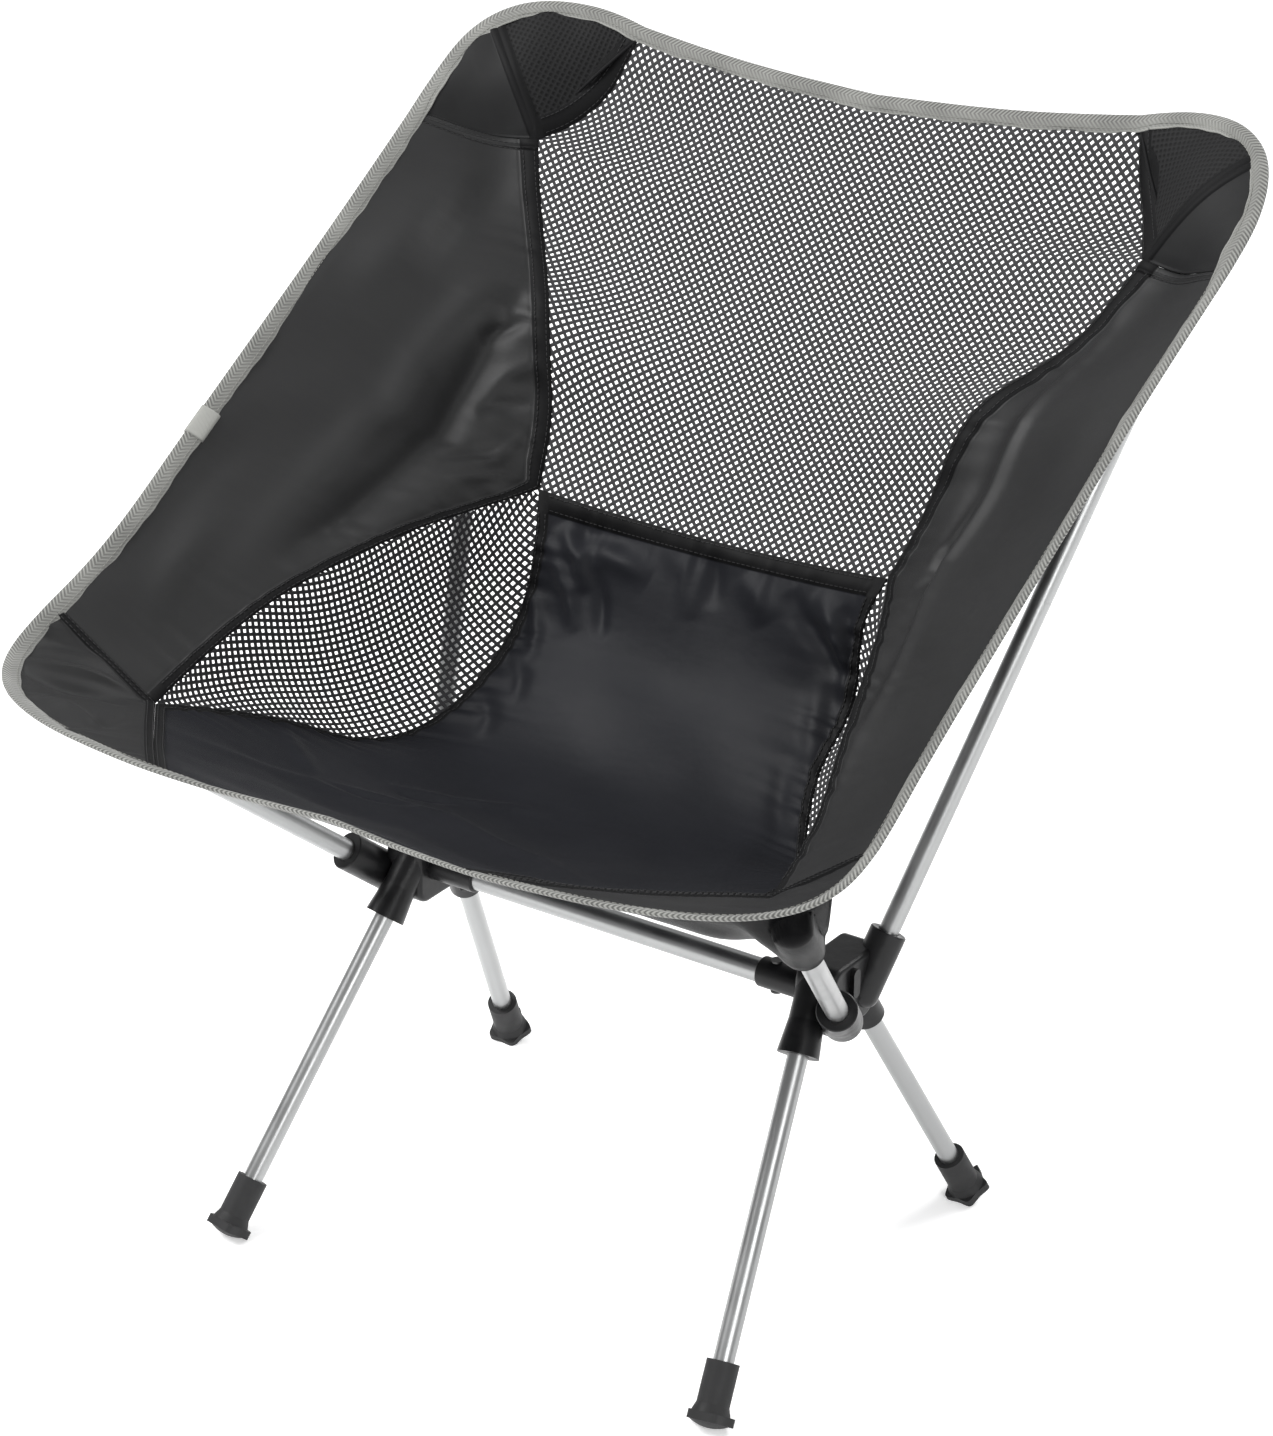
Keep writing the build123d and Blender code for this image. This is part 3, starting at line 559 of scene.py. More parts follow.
def grid_normals(points):
    """Unit normal at each point of a grid, from its neighbours."""
    along, across = np.gradient(points, axis=0), np.gradient(points, axis=1)
    normal = np.cross(along, across)
    return normal / np.maximum(np.linalg.norm(normal, axis=-1, keepdims=True), 1e-12)


def flat_map(points):
    """Flat place of each grid point: distance along and across the sheet, in metres."""
    along = np.linalg.norm(np.diff(points, axis=0), axis=-1)
    along = np.concatenate([np.zeros((1, points.shape[1])), np.cumsum(along, 0)])
    across = np.linalg.norm(np.diff(points, axis=1), axis=-1)
    across = np.concatenate([np.zeros((points.shape[0], 1)), np.cumsum(across, 1)], 1)
    across = across - across[:, -1:] / 2
    return np.stack([along.mean(1, keepdims=True) + 0 * along, across], -1)


def thicken(piece, thickness):
    """Gives a sheet its wall, on the side away from the sitter."""
    wall = piece.modifiers.new("wall", "SOLIDIFY")
    wall.thickness, wall.offset, wall.use_even_offset = thickness, -1.0, False
    return piece


BAND_STEP, GROOVE = 0.45 * MM, 0.7 * MM  # how sharply a seam band ends, and how far past it the groove lies


def band_gaps(band):
    """Distances from a seam of a sheet's lines: over the seam band, its edge and the groove past it."""
    band = np.asarray(band, float)
    inside = [0 * band, 0 * band + BAND_STEP, band * 0.5, band - BAND_STEP]
    return np.stack(inside + [band, band + GROOVE, band + 2 * MM], -1)


def across_shares(span, band, count, both=False):
    """Lines across a sheet, row by row: close together over its seam band, then even to the far side."""
    near = band_gaps(band) / span[:, None]
    near = near * np.minimum(1, 0.7 / near[:, -1:])
    if both:
        even = np.linspace(-1, 1, count)[None, 1:-1] * (1 - near[:, -1:])
        return np.concatenate([near - 1, even, 1 - near[:, ::-1]], 1)
    return np.concatenate([near, near[:, -1:] + (1 - near[:, -1:]) * np.linspace(0, 1, count)[None, 1:]], 1)


def ridge(gap, band, height=0.8):
    """Doubled cloth along a seam: a flat step as wide as the band, with a soft groove past its edge."""
    step = np.clip((band - gap) / BAND_STEP, 0, 1) * np.clip(0.3 + gap / (0.6 * MM), 0, 1)
    groove = np.where(gap > band, np.exp(-(((gap - band) / MM - 0.7) ** 2)), 0)
    return (height * step - 0.35 * groove) * MM


def fold(flat, points, width, height):
    """Soft ridge along a bent line of flat places: a bell across it that fades in and out along it."""
    places = np.array(points, float) * MM
    runs = np.diff(places, axis=0)
    lengths = np.linalg.norm(runs, axis=1)
    nearest, share = np.full(flat.shape[:-1], np.inf), np.zeros(flat.shape[:-1])
    for start, run, length, before in zip(places, runs, lengths, np.cumsum(lengths) - lengths):
        along = np.clip(((flat - start) @ run) / length**2, 0, 1)
        gap = np.linalg.norm(flat - start - along[..., None] * run, axis=-1)
        share = np.where(gap < nearest, (before + along * length) / lengths.sum(), share)
        nearest = np.minimum(gap, nearest)
    fade = np.maximum(np.sin(np.pi * share), 0) ** 0.8
    return height * MM * fade * np.exp(-((nearest / (width * MM)) ** 2))


def puckers(run, gap, pitch, height, reach, phase=0.0):
    """Gathers along a seam: uneven waves that die away from it."""
    wave = np.sin(TAU * run / (pitch * MM) + 1.7 * np.sin(TAU * run / (pitch * 3.7 * MM) + phase))
    uneven = 0.65 + 0.35 * np.sin(TAU * run / (pitch * 2.3 * MM) + 2 * phase)
    return height * MM * wave * uneven * np.exp(-np.abs(gap) / (reach * MM))


def face_out(piece):
    """Welds doubled points and turns every face outwards."""
    made = bmesh.new()
    made.from_mesh(piece.data)
    bmesh.ops.remove_doubles(made, verts=made.verts, dist=1e-6)
    bmesh.ops.recalc_face_normals(made, faces=made.faces)
    made.to_mesh(piece.data)
    made.free()


def tube(name, path, radius, finish_of, mirror=1.0, sides=10):
    """Round tube along a path, closed at both ends."""
    tangent = np.gradient(path, axis=0)
    tangent = unit(tangent)
    side = np.cross(tangent, np.array([0.31, 0.17, 0.93]))
    side = unit(side)
    up = np.cross(side, tangent)
    angle = TAU * np.arange(sides) / sides
    ring = np.cos(angle)[None, :, None] * side[:, None] + np.sin(angle)[None, :, None] * up[:, None]
    points = path[:, None] + ring * radius
    ends = [np.repeat(path[[end], None], sides, 1) for end in (0, -1)]
    points = np.concatenate([ends[0], points, ends[1]])
    faces = grid_faces(len(points), sides, closed=True)
    run = run_along(path)
    run = np.concatenate([run[:1], run, run[-1:]])
    uv = np.stack(np.broadcast_arrays(run[:, None], (radius * angle)[None]), -1)
    piece = put_mesh(name, points, faces, finish_of, uv, mirror=mirror)
    face_out(piece)
    return piece


sheet_lines = {}  # name of a finished sheet: its points and normals


def cloth(name, surface, s, t, hint, finishes, mirror=1.0, relief=None, thickness=0.0009, finish_at=None):
    """Sheet on a grid of s by t, with a relief in metres raised towards the sitter.

    t holds one row of shares, or one for each s; finish_at gives each quad's finish from its row and column.
    """
    tt = np.array(np.broadcast_to(t, (len(s), t.shape[-1])))
    ss = np.repeat(s[:, None], tt.shape[1], 1)
    points = surface(ss, tt)
    flat = flat_map(points)
    normal = grid_normals(points)
    facing = np.sign((normal * np.array(hint)).sum(-1).mean())
    if relief is not None:
        points = points + normal * facing * relief(flat, ss, tt)[..., None]
    faces = grid_faces(*ss.shape)
    if facing < 0:
        faces = faces[:, ::-1]
    piece = put_mesh(name, points, faces, finishes[0], flat, mirror=mirror)
    for other in finishes[1:]:
        piece.data.materials.append(other)
    if finish_at is not None:
        i, j = np.meshgrid(np.arange(ss.shape[0] - 1), np.arange(ss.shape[1] - 1), indexing="ij")
        piece.data.polygons.foreach_set("material_index", finish_at(i, j).astype(np.int32).ravel())
    crossed = np.cross(np.gradient(points, axis=0), np.gradient(points, axis=1))
    piece["area"] = float(np.linalg.norm(crossed, axis=-1).sum())
    spans = np.ptp(flat.reshape(-1, 2), axis=0)
    piece["flat"] = [float(max(x, 0.02)) for x in spans]
    sheet_lines[name] = points, normal * facing
    return thicken(piece, thickness)


def line_on(name, column, share=0.0, row=False, lift=0.00025):
    """Path on a finished sheet, part way between two of its lines, with the normals under it."""
    points, normal = sheet_lines[name]
    if row:
        points, normal = points.swapaxes(0, 1), normal.swapaxes(0, 1)
    after = column + 1 if column >= 0 else column - 1
    path = blend(points[:, column], points[:, after], np.full(len(points), share))
    return path + normal[:, column] * lift, normal[:, column]


LEAST_FILL = 0.31  # least share of its flat rectangle that a sheet's worked-out area is taken to cover


def stand_in(piece, node):
    """Hides the node that a sheet takes the place of; the sheet's cut size and covered area are worked out
    but not used.
    """
    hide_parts(node)
    width, length = piece["flat"]
    area = min(piece["area"], width * length)
    area = max(area, LEAST_FILL * width * length)


def stitch_dashes(path, normals, pitch=0.0034, length=0.0026, width=0.00022, sides=5):
    """Verts and faces of thread dashes along a path: each a small five-sided pod lying on the cloth."""
    run = run_along(path)
    starts = np.arange(0.001, run[-1] - length, pitch)
    if not len(starts):
        return np.zeros((0, 3)), np.zeros((0, 4), int)
    at = starts[:, None] + length * np.array([0, 0.12, 0.88, 1.0])[None, :]
    centre = read_at(at, run, path)
    up = read_at(at, run, normals)
    along = centre[:, -1:] - centre[:, :1]
    along = unit(along)
    side = np.cross(np.broadcast_to(along, up.shape), up)
    side = unit(side)
    size = width * np.array([0.25, 1, 1, 0.25])[None, :, None, None]
    angle = TAU * np.arange(sides) / sides
    ring = np.cos(angle)[:, None] * side[:, :, None, :] + np.sin(angle)[:, None] * up[:, :, None, :]
    sunk = np.array([-0.6, 0.5, 0.5, -0.6])[None, :, None] * width
    points = centre[:, :, None, :] + (up * sunk)[:, :, None, :] + ring * size
    quads = grid_faces(4, sides, closed=True)[:, ::-1]
    faces = (quads[None] + np.arange(len(starts))[:, None, None] * 4 * sides).reshape(-1, 4)
    return points.reshape(-1, 3), faces


def sew(name, rows, finish_of, mirror=1.0):
    """All the stitch rows of one seam as one piece."""
    points, faces, total = [], [], 0
    for path, normals in rows:
        p, f = stitch_dashes(path, normals)
        points.append(p)
        faces.append(f + total)
        total += len(p)
    points, faces = np.concatenate(points), np.concatenate(faces)
    return put_mesh(name, points, faces, finish_of, mirror=mirror)


# ---------------------------------------------------------------- net with real holes
HOLE_HALF = 0.00106
NET_THICKNESS = 0.0006
SEAM_ALLOWANCE = 0.0025


def net(name, to_space, low, high, inside, hint, mirror=1.0, turn=45.0):
    """Open mesh: a turned square lattice laid out flat, each cell a ring of four quads, bent to shape."""
    c, s = np.cos(np.radians(turn)), np.sin(np.radians(turn))
    frame_of = np.array([[c, s], [-s, c]])
    middle = (np.array(low) + high) / 2
    reach = int(np.linalg.norm(np.array(high) - low) / 2 / NET_PITCH) + 2
    i, j = (k.ravel() for k in np.meshgrid(np.arange(-reach, reach), np.arange(-reach, reach), indexing="ij"))
    centre = middle + np.stack([i + 0.5, j + 0.5], -1) @ frame_of * NET_PITCH
    keep = inside(centre[:, 0], centre[:, 1]) & (centre > low).all(1) & (centre < high).all(1)
    i, j, centre = i[keep], j[keep], centre[keep]
    ring = np.array([(0, 0), (1, 0), (1, 1), (0, 1)])
    size = 2 * reach + 2
    key = (i[:, None] + ring[:, 0] + reach) * size + j[:, None] + ring[:, 1] + reach
    knots, back = np.unique(key, return_inverse=True)
    back = back.reshape(-1, 4)
    knot_place = middle + np.stack([knots // size - reach, knots % size - reach], -1) @ frame_of * NET_PITCH
    inner = centre[:, None] + (ring * 2 - 1) @ frame_of * HOLE_HALF
    flat = np.concatenate([knot_place, inner.reshape(-1, 2)])
    holes = len(knots) + np.arange(len(centre) * 4).reshape(-1, 4)
    after = np.roll(np.arange(4), -1)
    faces = np.stack([back, back[:, after], holes[:, after], holes], -1).reshape(-1, 4)
    points = to_space(flat[:, 0], flat[:, 1])
    a, b, c = points[faces[:, 0]], points[faces[:, 1]], points[faces[:, 2]]
    if (np.cross(b - a, c - a) @ np.array(hint)).sum() < 0:
        faces = faces[:, ::-1]
    piece = put_mesh(name, points, faces, NET, flat, mirror=mirror)
    piece["area"] = float(len(centre) * NET_PITCH**2)
    piece["flat"] = [float(high[0] - low[0]), float(high[1] - low[1])]
    return thicken(piece, NET_THICKNESS)


BEHIND = 0.0007 * np.array([0.0, 0.87, -0.5])  # step that takes the back net behind the edge tape
LEAD_IN = 0.02  # share of the middle line that gives its direction below the seat seam


def unroll_wide(middle, side, surface):
    """Flat places of a side-to-side sheet: x across, y along its middle line."""
    shares = np.linspace(0, 1, 400)
    half = side(shares)[:, 0]
    length = middle.length

    def to_space(x, y):
        s = np.clip(y / length, 0, 1)
        lead = (middle(np.array(LEAD_IN)) - middle(np.array(0.0))) / (LEAD_IN * length)
        below = np.minimum(y, 0)[..., None] * lead
        behind_tape = np.clip((y - length) / 0.006 + 2.2, 0, 1)[..., None] * BEHIND
        return surface(s, x / np.interp(s, shares, half)) + below + behind_tape

    return to_space, length, lambda y: np.interp(np.clip(y / length, 0, 1), shares, half)


def drift(flat, scale, height, seed):
    """Gentle unevenness: a sum of plane waves in fixed directions."""
    pick = np.random.default_rng(seed)
    total = np.zeros(flat.shape[:-1])
    for angle, phase, size in pick.uniform(0, 1, (7, 3)) * (TAU, TAU, 1):
        heading = np.array([np.cos(angle), np.sin(angle)])
        total += np.sin(TAU * (flat @ heading) / (scale * MM * (0.6 + size)) + phase)
    return height * MM * total / 7


def ease(distance, reach, start=0.0):
    """0 up to a start, rising smoothly to 1 a reach further on (both in millimetres)."""
    t = np.clip((distance / MM - start) / reach, 0, 1)
    return t * t * (3 - 2 * t)


def under_tape(rim_gap):
    """0 where the edge tape holds the cloth, rising to 1 just past its inner edge."""
    return ease(rim_gap, 6, 6)


# ---------------------------------------------------------------- the seat
SEAT_BAND, FOOT_BAND = 6.5 * MM, 11 * MM
SEAT_FOLDS = [  # (along, across) places on the cloth, width, height in millimetres
    (((355, -185), (333, -147), (304, -111), (284, -79), (272, -44), (296, 37), (350, 110)), 8, 3.0),
    (((380, -150), (340, -100), (310, -40), (330, 40), (370, 90)), 16, -2.5),
    (((300, -112), (292, -85), (276, -58)), 4, -3.0), (((262, -86), (250, -69), (232, -48)), 4, -2.6),
    (((255, -100), (240, -60), (215, -37), (205, -10)), 6, 2.4),
    (((246, -176), (268, -150), (298, -111)), 6, 2.4),
    (((11, -112), (15, -90), (15, -68), (12, -40)), 9, -4.5),
    (((14, -100), (32, -82), (50, -74)), 6, 4.6),
    (((30, -104), (52, -84), (75, -72)), 6, 4.2), (((20, -80), (26, -56), (32, -33)), 7, 3.6),
    (((34, -70), (52, -62), (76, -54)), 5, -3.4), (((56, -112), (78, -98), (100, -92)), 5, 3.0),
    (((90, -108), (108, -92), (128, -86)), 5, 2.6), (((120, -112), (140, -96), (158, -92)), 5, 2.4),
    (((15, 27), (28, 41), (40, 50)), 8, 3.0), (((18, 60), (30, 70), (45, 90), (60, 112)), 6, -4.4),
    (((14, 78), (30, 92), (50, 106), (80, 116)), 6, 4.4), (((20, 96), (40, 108), (70, 118)), 5, -3.6),
    (((60, 90), (90, 100), (120, 118)), 7, 2.8), (((110, 92), (140, 104), (170, 122)), 7, -2.4),
    (((8, -30), (24, -10), (50, 0)), 8, 2.2), (((6, 0), (20, 8), (40, 12)), 6, -2.0),
    (((90, 30), (180, 40), (270, 52)), 26, 2.2), (((110, -30), (200, -20), (290, 4)), 28, -2.4),
    (((140, 100), (200, 110), (270, 130)), 12, 2.2), (((210, 60), (260, 90), (320, 130)), 14, -2.2),
]


def seat_relief(flat, s, t):
    half = seat_side(s)[..., 0]
    gap = (1 - np.abs(t)) * half
    run = s * seat_side.length
    folds = sum(fold(flat, *f) for f in SEAT_FOLDS)
    gathers = puckers(run, gap, 13, 1.7, 16, 0.4) * ease(run, 18) * ease(0.36 - run, 40) * ease(gap, 4)
    back_gathers = puckers(flat[..., 1], run, 17, 1.5, 20, 1.1) * ease(run, 6)
    seams = np.maximum(ridge(gap, SEAT_BAND), ridge(s * seat_middle.length, FOOT_BAND))
    raised = (folds + drift(flat, 95, 3.2, 5)) * ease(gap, 9) * ease(run, 8)
    return raised + gathers + back_gathers * ease(gap, 10) + seams


foot_rows = band_gaps(FOOT_BAND) / seat_middle.length
seat_rows = np.concatenate([foot_rows, np.linspace(foot_rows[-1], 1, 212)[1:]])
seat_columns = across_shares(seat_side(seat_rows)[:, 0], SEAT_BAND, 204, both=True)
seat = cloth(
    "seat_cloth", seat_surface, seat_rows, seat_columns, (0, 0, 1), (SEAT_FABRIC, SEAM), relief=seat_relief,
    thickness=0.001, finish_at=lambda i, j: (i < 4) | (j < 4) | (j > seat_columns.shape[1] - 6),
)
stand_in(seat, "seat_panel")

# ---------------------------------------------------------------- the back net
to_back, back_length, back_half = unroll_wide(back_middle, back_side, back_surface)


def inside_back(x, y):
    return np.abs(x) < back_half(y) + SEAM_ALLOWANCE


widest = float(back_half(np.linspace(0, back_length, 50)).max())
widest += SEAM_ALLOWANCE
back_low, back_high = (-widest, -SEAM_ALLOWANCE), (widest, back_length - 3 * MM)
back_net = net("back_net", to_back, back_low, back_high, inside_back, (0, -1, 1))
stand_in(back_net, "back_mesh_panel")


# ---------------------------------------------------------------- side panels, corners and leaves, both sides
LEAF_BAND, SIDE_BAND, TOP_SEAM_BAND = 7 * MM, 11.5 * MM, 5 * MM
LEAF_SHARE = leaf_upper.length / side_inner.length


def side_band(s):
    """Width of the seam band on the side panel: narrow along the leaf, wide along the back net."""
    return LEAF_BAND + (SIDE_BAND - LEAF_BAND) * np.clip((s - LEAF_SHARE) / 0.05 + 0.5, 0, 1)


def side_width(s):
    return np.linalg.norm(rim(s) - side_inner(s), axis=-1)


def side_relief(seed, folds):
    def relief(flat, s, t):
        width = side_width(s)
        gap = np.minimum(t, 1 - t) * width
        run = s * side_inner.length
        raised = sum(fold(flat, *f) for f in folds) + drift(flat, 120, 3.0, seed)
        gathers = puckers(run, t * width, 19, 1.1, 22, seed) * ease(run, 30) * ease(gap, 3)
        rim_gap = (1 - t) * width
        top_seam = ridge((1 - s) * side_inner.length, TOP_SEAM_BAND, 0.3) * under_tape(rim_gap)
        seams = ridge(t * width, side_band(s)) + top_seam
        return raised * ease(gap, 14) * ease(run, 12) + gathers * ease(side_inner.length - run, 20) + seams

    return relief


SIDE_FOLDS = {
    "left": [
        (((60, -36), (96, -37), (146, -36), (211, -36), (289, -28), (367, -30), (430, -34)), 6, 3.4),
        (((90, -52), (150, -50), (215, -48), (280, -44), (340, -46)), 9, -3.2),
        (((120, 0), (220, 2), (330, 6), (420, -4)), 26, -1.8), (((250, -58), (262, -46), (290, -40)), 5, 2.4),
        (((225, -60), (240, -48), (262, -44)), 4, -2.2), (((180, -56), (200, -44), (230, -38)), 5, 1.8),
    ],
    "right": [
        (((80, -22), (102, -19), (171, -9), (226, 3), (277, -2), (325, -23), (380, -46)), 15, 6.5),
        (((105, -40), (122, -36), (159, -38), (202, -34), (238, -28), (269, -31), (297, -37), (330, -46),
          (372, -58)), 9, -6.0),
        (((130, -62), (180, -60), (230, -58), (275, -60)), 12, 3.4),
        (((308, -34), (318, -42), (331, -60)), 4, -3.0), (((268, -44), (278, -54), (287, -74)), 4, -3.0),
        (((282, -44), (296, -54), (310, -72)), 5, 2.6), (((228, -40), (245, -52), (262, -80)), 5, -3.2),
        (((236, -58), (252, -66), (271, -78)), 4, 3.0), (((215, -56), (232, -70), (244, -84)), 4, 2.4),
        (((290, 46), (309, 40), (367, 19), (426, -2), (450, -10)), 18, 4.0),
        (((330, 10), (380, -8), (430, -26)), 14, -2.6),
        (((40, 24), (90, 30), (150, 40), (200, 46)), 12, -2.4), (((30, -4), (70, 4), (120, 12)), 10, 2.2),
    ],
}


PATCH_BAND, ARC_BAND, ROLLED_EDGE, RIDGE_HALF = 6 * MM, 12 * MM, 1.6 * MM, 5 * MM
ARC_SHARE = side_arc.length / (side_arc.length + lining_inner.length)


def patch_width(s):
    return np.linalg.norm(hem(1 - s * (1 - HEM_START)) - front_patch_edge(s), axis=-1)


def top_width(s):
    return np.linalg.norm(corner(s) - top_patch_edge(s), axis=-1)


def arc_band(s):
    """Width of the dark band on the top corner: a thin rolled edge on the outer arc, wide along the net."""
    return ROLLED_EDGE + (ARC_BAND - ROLLED_EDGE) * np.clip((s - ARC_SHARE) / 0.02 + 0.5, 0, 1)


def corner_relief(seed, folds):
    def relief(flat, s, t):
        width = patch_width(s)
        gap = np.minimum(t, 1 - t) * width
        tucks = puckers(s * front_patch_edge.length, (1 - t) * width, 15, 1.0, 14, seed)
        raised = drift(flat, 60, 2.4, seed) + sum(fold(flat, *f) for f in folds)
        rim_gap = np.minimum((1 - t) * width, np.minimum(s, 1 - s) * front_patch_edge.length)
        seam = ridge(t * width, PATCH_BAND) * under_tape(rim_gap)
        return raised * ease(gap, 9) + tucks * ease(gap, 5) + seam

    return relief


def top_relief(seed):
    def relief(flat, s, t):
        width = top_width(s)
        along = np.abs(s - ARC_SHARE) * top_patch_edge.length
        gap = np.minimum(t, 1 - t) * width
        rim_gap = np.minimum((1 - t) * width, np.minimum(s, 1 - s) * top_patch_edge.length)
        seams = np.maximum(ridge(t * width, arc_band(s)), ridge(along, RIDGE_HALF))
        return drift(flat, 55, 1.8, seed) * ease(gap, 9) + seams * under_tape(rim_gap)

    return relief


SEAT_AWAY, PANEL_AWAY = np.array([0.0, 0.35, -0.94]), np.array([0.77, 0.0, -0.64])
LEAF_END_GAP, LEAF_TURN = 0.002, 5.0


def leaf_net(label, mirror):
    """Net leaf laid out flat along its middle line, its height measured from that line."""
    shares = np.linspace(0, 1, 300)
    middle = leaf_surface(shares, np.full(300, 0.5))
    run = run_along(middle)
    width = np.linalg.norm(leaf_upper(shares) - leaf_lower(shares), axis=1)

    def to_space(x, y):
        """Points past the seams are folded back under the seat's and the side panel's edges."""
        s = np.interp(x, run, shares)
        reach = np.maximum(np.interp(s, shares, width), 0.004)
        t = 0.5 + y / reach
        below, above = np.maximum(-t, 0) * reach, np.maximum(t - 1, 0) * reach
        seat_share, panel_share = s * leaf_lower.length / seat_side.length, LEAF_SHARE * (1 - s)
        one, near = np.ones_like(s), np.full_like(s, 0.03)
        under_seat = seat_surface(seat_share, one - near) - seat_surface(seat_share, one)
        under_panel = side_surface(panel_share, near) - side_surface(panel_share, 0 * s)
        points = leaf_surface(s, np.clip(t, 0, 1))
        for past, way, away in ((below, under_seat, SEAT_AWAY), (above, under_panel, PANEL_AWAY)):
            points = points + past[..., None] * unit(way) + np.minimum(past, 1.3 * MM)[..., None] * away
        return points

    def inside(x, y):
        s = np.interp(x, run, shares)
        return np.abs(y) < np.interp(s, shares, width) / 2 + SEAM_ALLOWANCE * 0.8

    tall = float(width.max()) / 2 + SEAM_ALLOWANCE
    low, high = (LEAF_END_GAP, -tall), (float(run[-1]) - LEAF_END_GAP, tall)
    piece = net(f"leaf_net_{label}", to_space, low, high, inside, (-1, 0, 1), mirror, LEAF_TURN)
    stand_in(piece, f"side_mesh_{label}")


def top_rows():
    """Shares along the top corner: close together beside the ridge between its lining and its plain end."""
    near = band_gaps(RIDGE_HALF)[1:] / top_patch_edge.length
    low, high = ARC_SHARE - near[::-1], ARC_SHARE + near
    start, rest = np.linspace(0, low[0], 40)[:-1], np.linspace(high[-1], 1, 60)[1:]
    return np.concatenate([start, low, [ARC_SHARE], high, rest])


def topstitching(label, mirror):
    """Stitch rows on the seam bands of one side, each following the finished cloth."""
    side, patch, top = (f"{name}_cloth_{label}" for name in ("side", "front_corner", "top_corner"))
    rows = [line_on(side, 1, 0.35), line_on(side, 2, 0.7), line_on(patch, 1, 0.3), line_on(patch, 2, 0.8)]
    for column, share in ((1, 0.3), (2, 0.8)):
        path, up = line_on(top, column, share)
        rows.append((path[top_band_start:], up[top_band_start:]))
    rows += [line_on(side, -3, 0.5, row=True), line_on(side, -8, 0.5, row=True)]
    sew(f"topstitching_{label}", [(path[4:-4], up[4:-4]) for path, up in rows], THREAD, mirror)


CORNER_FOLDS = {
    "left": [(((20, 20), (35, 0), (55, -20), (70, -36)), 4, 2.6), (((30, 26), (60, 10), (95, -8)), 5, -2.4)],
    "right": [
        (((46, 26), (51, 4), (57, -18), (64, -36)), 4, 3.0),
        (((60, 28), (70, 6), (76, -14), (84, -30)), 5, -3.4),
        (((81, 31), (100, 14), (119, 1), (130, -12)), 6, 3.4), (((28, 12), (30, -4), (38, -26)), 6, -2.6),
        (((96, 30), (120, 20), (150, 16)), 8, -2.6), (((100, -28), (112, -14), (140, 4)), 5, -2.2),
    ],
}
side_end = 1 - band_gaps(TOP_SEAM_BAND)[::-1] / side_inner.length
side_rows = np.concatenate([np.linspace(0, 0.988, 196), side_end])
side_columns = across_shares(side_width(side_rows), side_band(side_rows), 112)
patch_rows = np.linspace(0.004, 0.996, 110)
patch_columns = across_shares(patch_width(patch_rows), np.full(110, PATCH_BAND), 56)
lining_rows = top_rows()
lining_columns = across_shares(np.maximum(top_width(lining_rows), 2 * MM), arc_band(lining_rows), 60)
top_band_start = int(np.argmin(np.abs(lining_rows - ARC_SHARE)))


def on_band(i, j):
    """Quads of a sheet that lie on its seam band."""
    return j < 4


def top_finish(i, j):
    """Quads of the top corner: 1 on its bands, 2 on the lining, 0 on the plain end, which wears a darker copy
    of the side cloth as painted shade.
    """
    lined = i > top_band_start
    band = (np.abs(i + 0.5 - top_band_start) < 4) | (lined & (j < 4))
    return np.where(band, 1, np.where(lined, 2, 0))


for label, mirror in SIDES:
    side_seed, patch_seed, top_seed = (11, 3, 4) if mirror > 0 else (23, 8, 9)
    side = cloth(
        f"side_cloth_{label}", side_surface, side_rows, side_columns, (-1, 0, 1), (SIDE_FABRIC, SEAM), mirror,
        side_relief(side_seed, SIDE_FOLDS[label]), finish_at=on_band,
    )
    stand_in(side, f"side_panel_{label}")
    front_patch = cloth(
        f"front_corner_cloth_{label}", front_corner_surface, patch_rows, patch_columns, (0, 0, 1),
        (SIDE_FABRIC, SEAM), mirror, corner_relief(patch_seed, CORNER_FOLDS[label]), finish_at=on_band,
    )
    stand_in(front_patch, f"front_corner_patch_{label}")
    top_patch = cloth(
        f"top_corner_cloth_{label}", top_corner_surface, lining_rows, lining_columns, (0, -1, 1),
        (CORNER_FABRIC_PAINTED_SHADE, SEAM, LINING), mirror, top_relief(top_seed), finish_at=top_finish,
    )
    stand_in(top_patch, f"top_corner_patch_{label}")
    leaf_net(label, mirror)
    topstitching(label, mirror)

seat_ends = [line_on("seat_cloth", *where) for where in ((1, 0.35), (2, 0.7), (-2, 0.35), (-3, 0.7))]
seat_foot = [line_on("seat_cloth", *where, row=True) for where in ((1, 0.3), (2, 0.75))]
sew("topstitching_seat", [(path[4:-4], up[4:-4]) for path, up in seat_ends + seat_foot], THREAD)


# ---------------------------------------------------------------- edge binding
def half_loop():
    """Left half of the rim from the hem's middle to the top's middle, with the way in along the cloth."""
    n = 160
    s = np.linspace(0, HEM_START, n)
    x_share = hem(s)[:, 0] / hem(np.array(HEM_START))[0]
    parts = [(hem(s), seat_surface(np.full(n, 0.96), x_share) - seat_surface(np.ones(n), x_share))]
    patch = np.linspace(1, 0, n)
    held = patch * 0.96 + 0.02
    inner = front_corner_surface(held, np.full(n, 0.7))
    parts.append((hem(1 - patch * (1 - HEM_START)), inner - front_corner_surface(held, np.ones(n))))
    s = np.linspace(0, 1, 2 * n)
    parts.append((rim(s), side_surface(s, np.full(2 * n, 0.9)) - side_surface(s, np.ones(2 * n))))
    s = np.linspace(0, 1, n)
    held = s * 0.96 + 0.02
    inner = top_corner_surface(held, np.full(n, 0.8))
    parts.append((corner(s), inner - top_corner_surface(held, np.ones(n))))
    x_share = top(s)[:, 0] / top(np.array(0.0))[0]
    parts.append((top(s), back_surface(np.full(n, 0.95), x_share) - back_surface(np.ones(n), x_share)))
    points = np.concatenate([p for p, _ in parts])
    inward = np.concatenate([unit(way) for _, way in parts])
    return points, inward


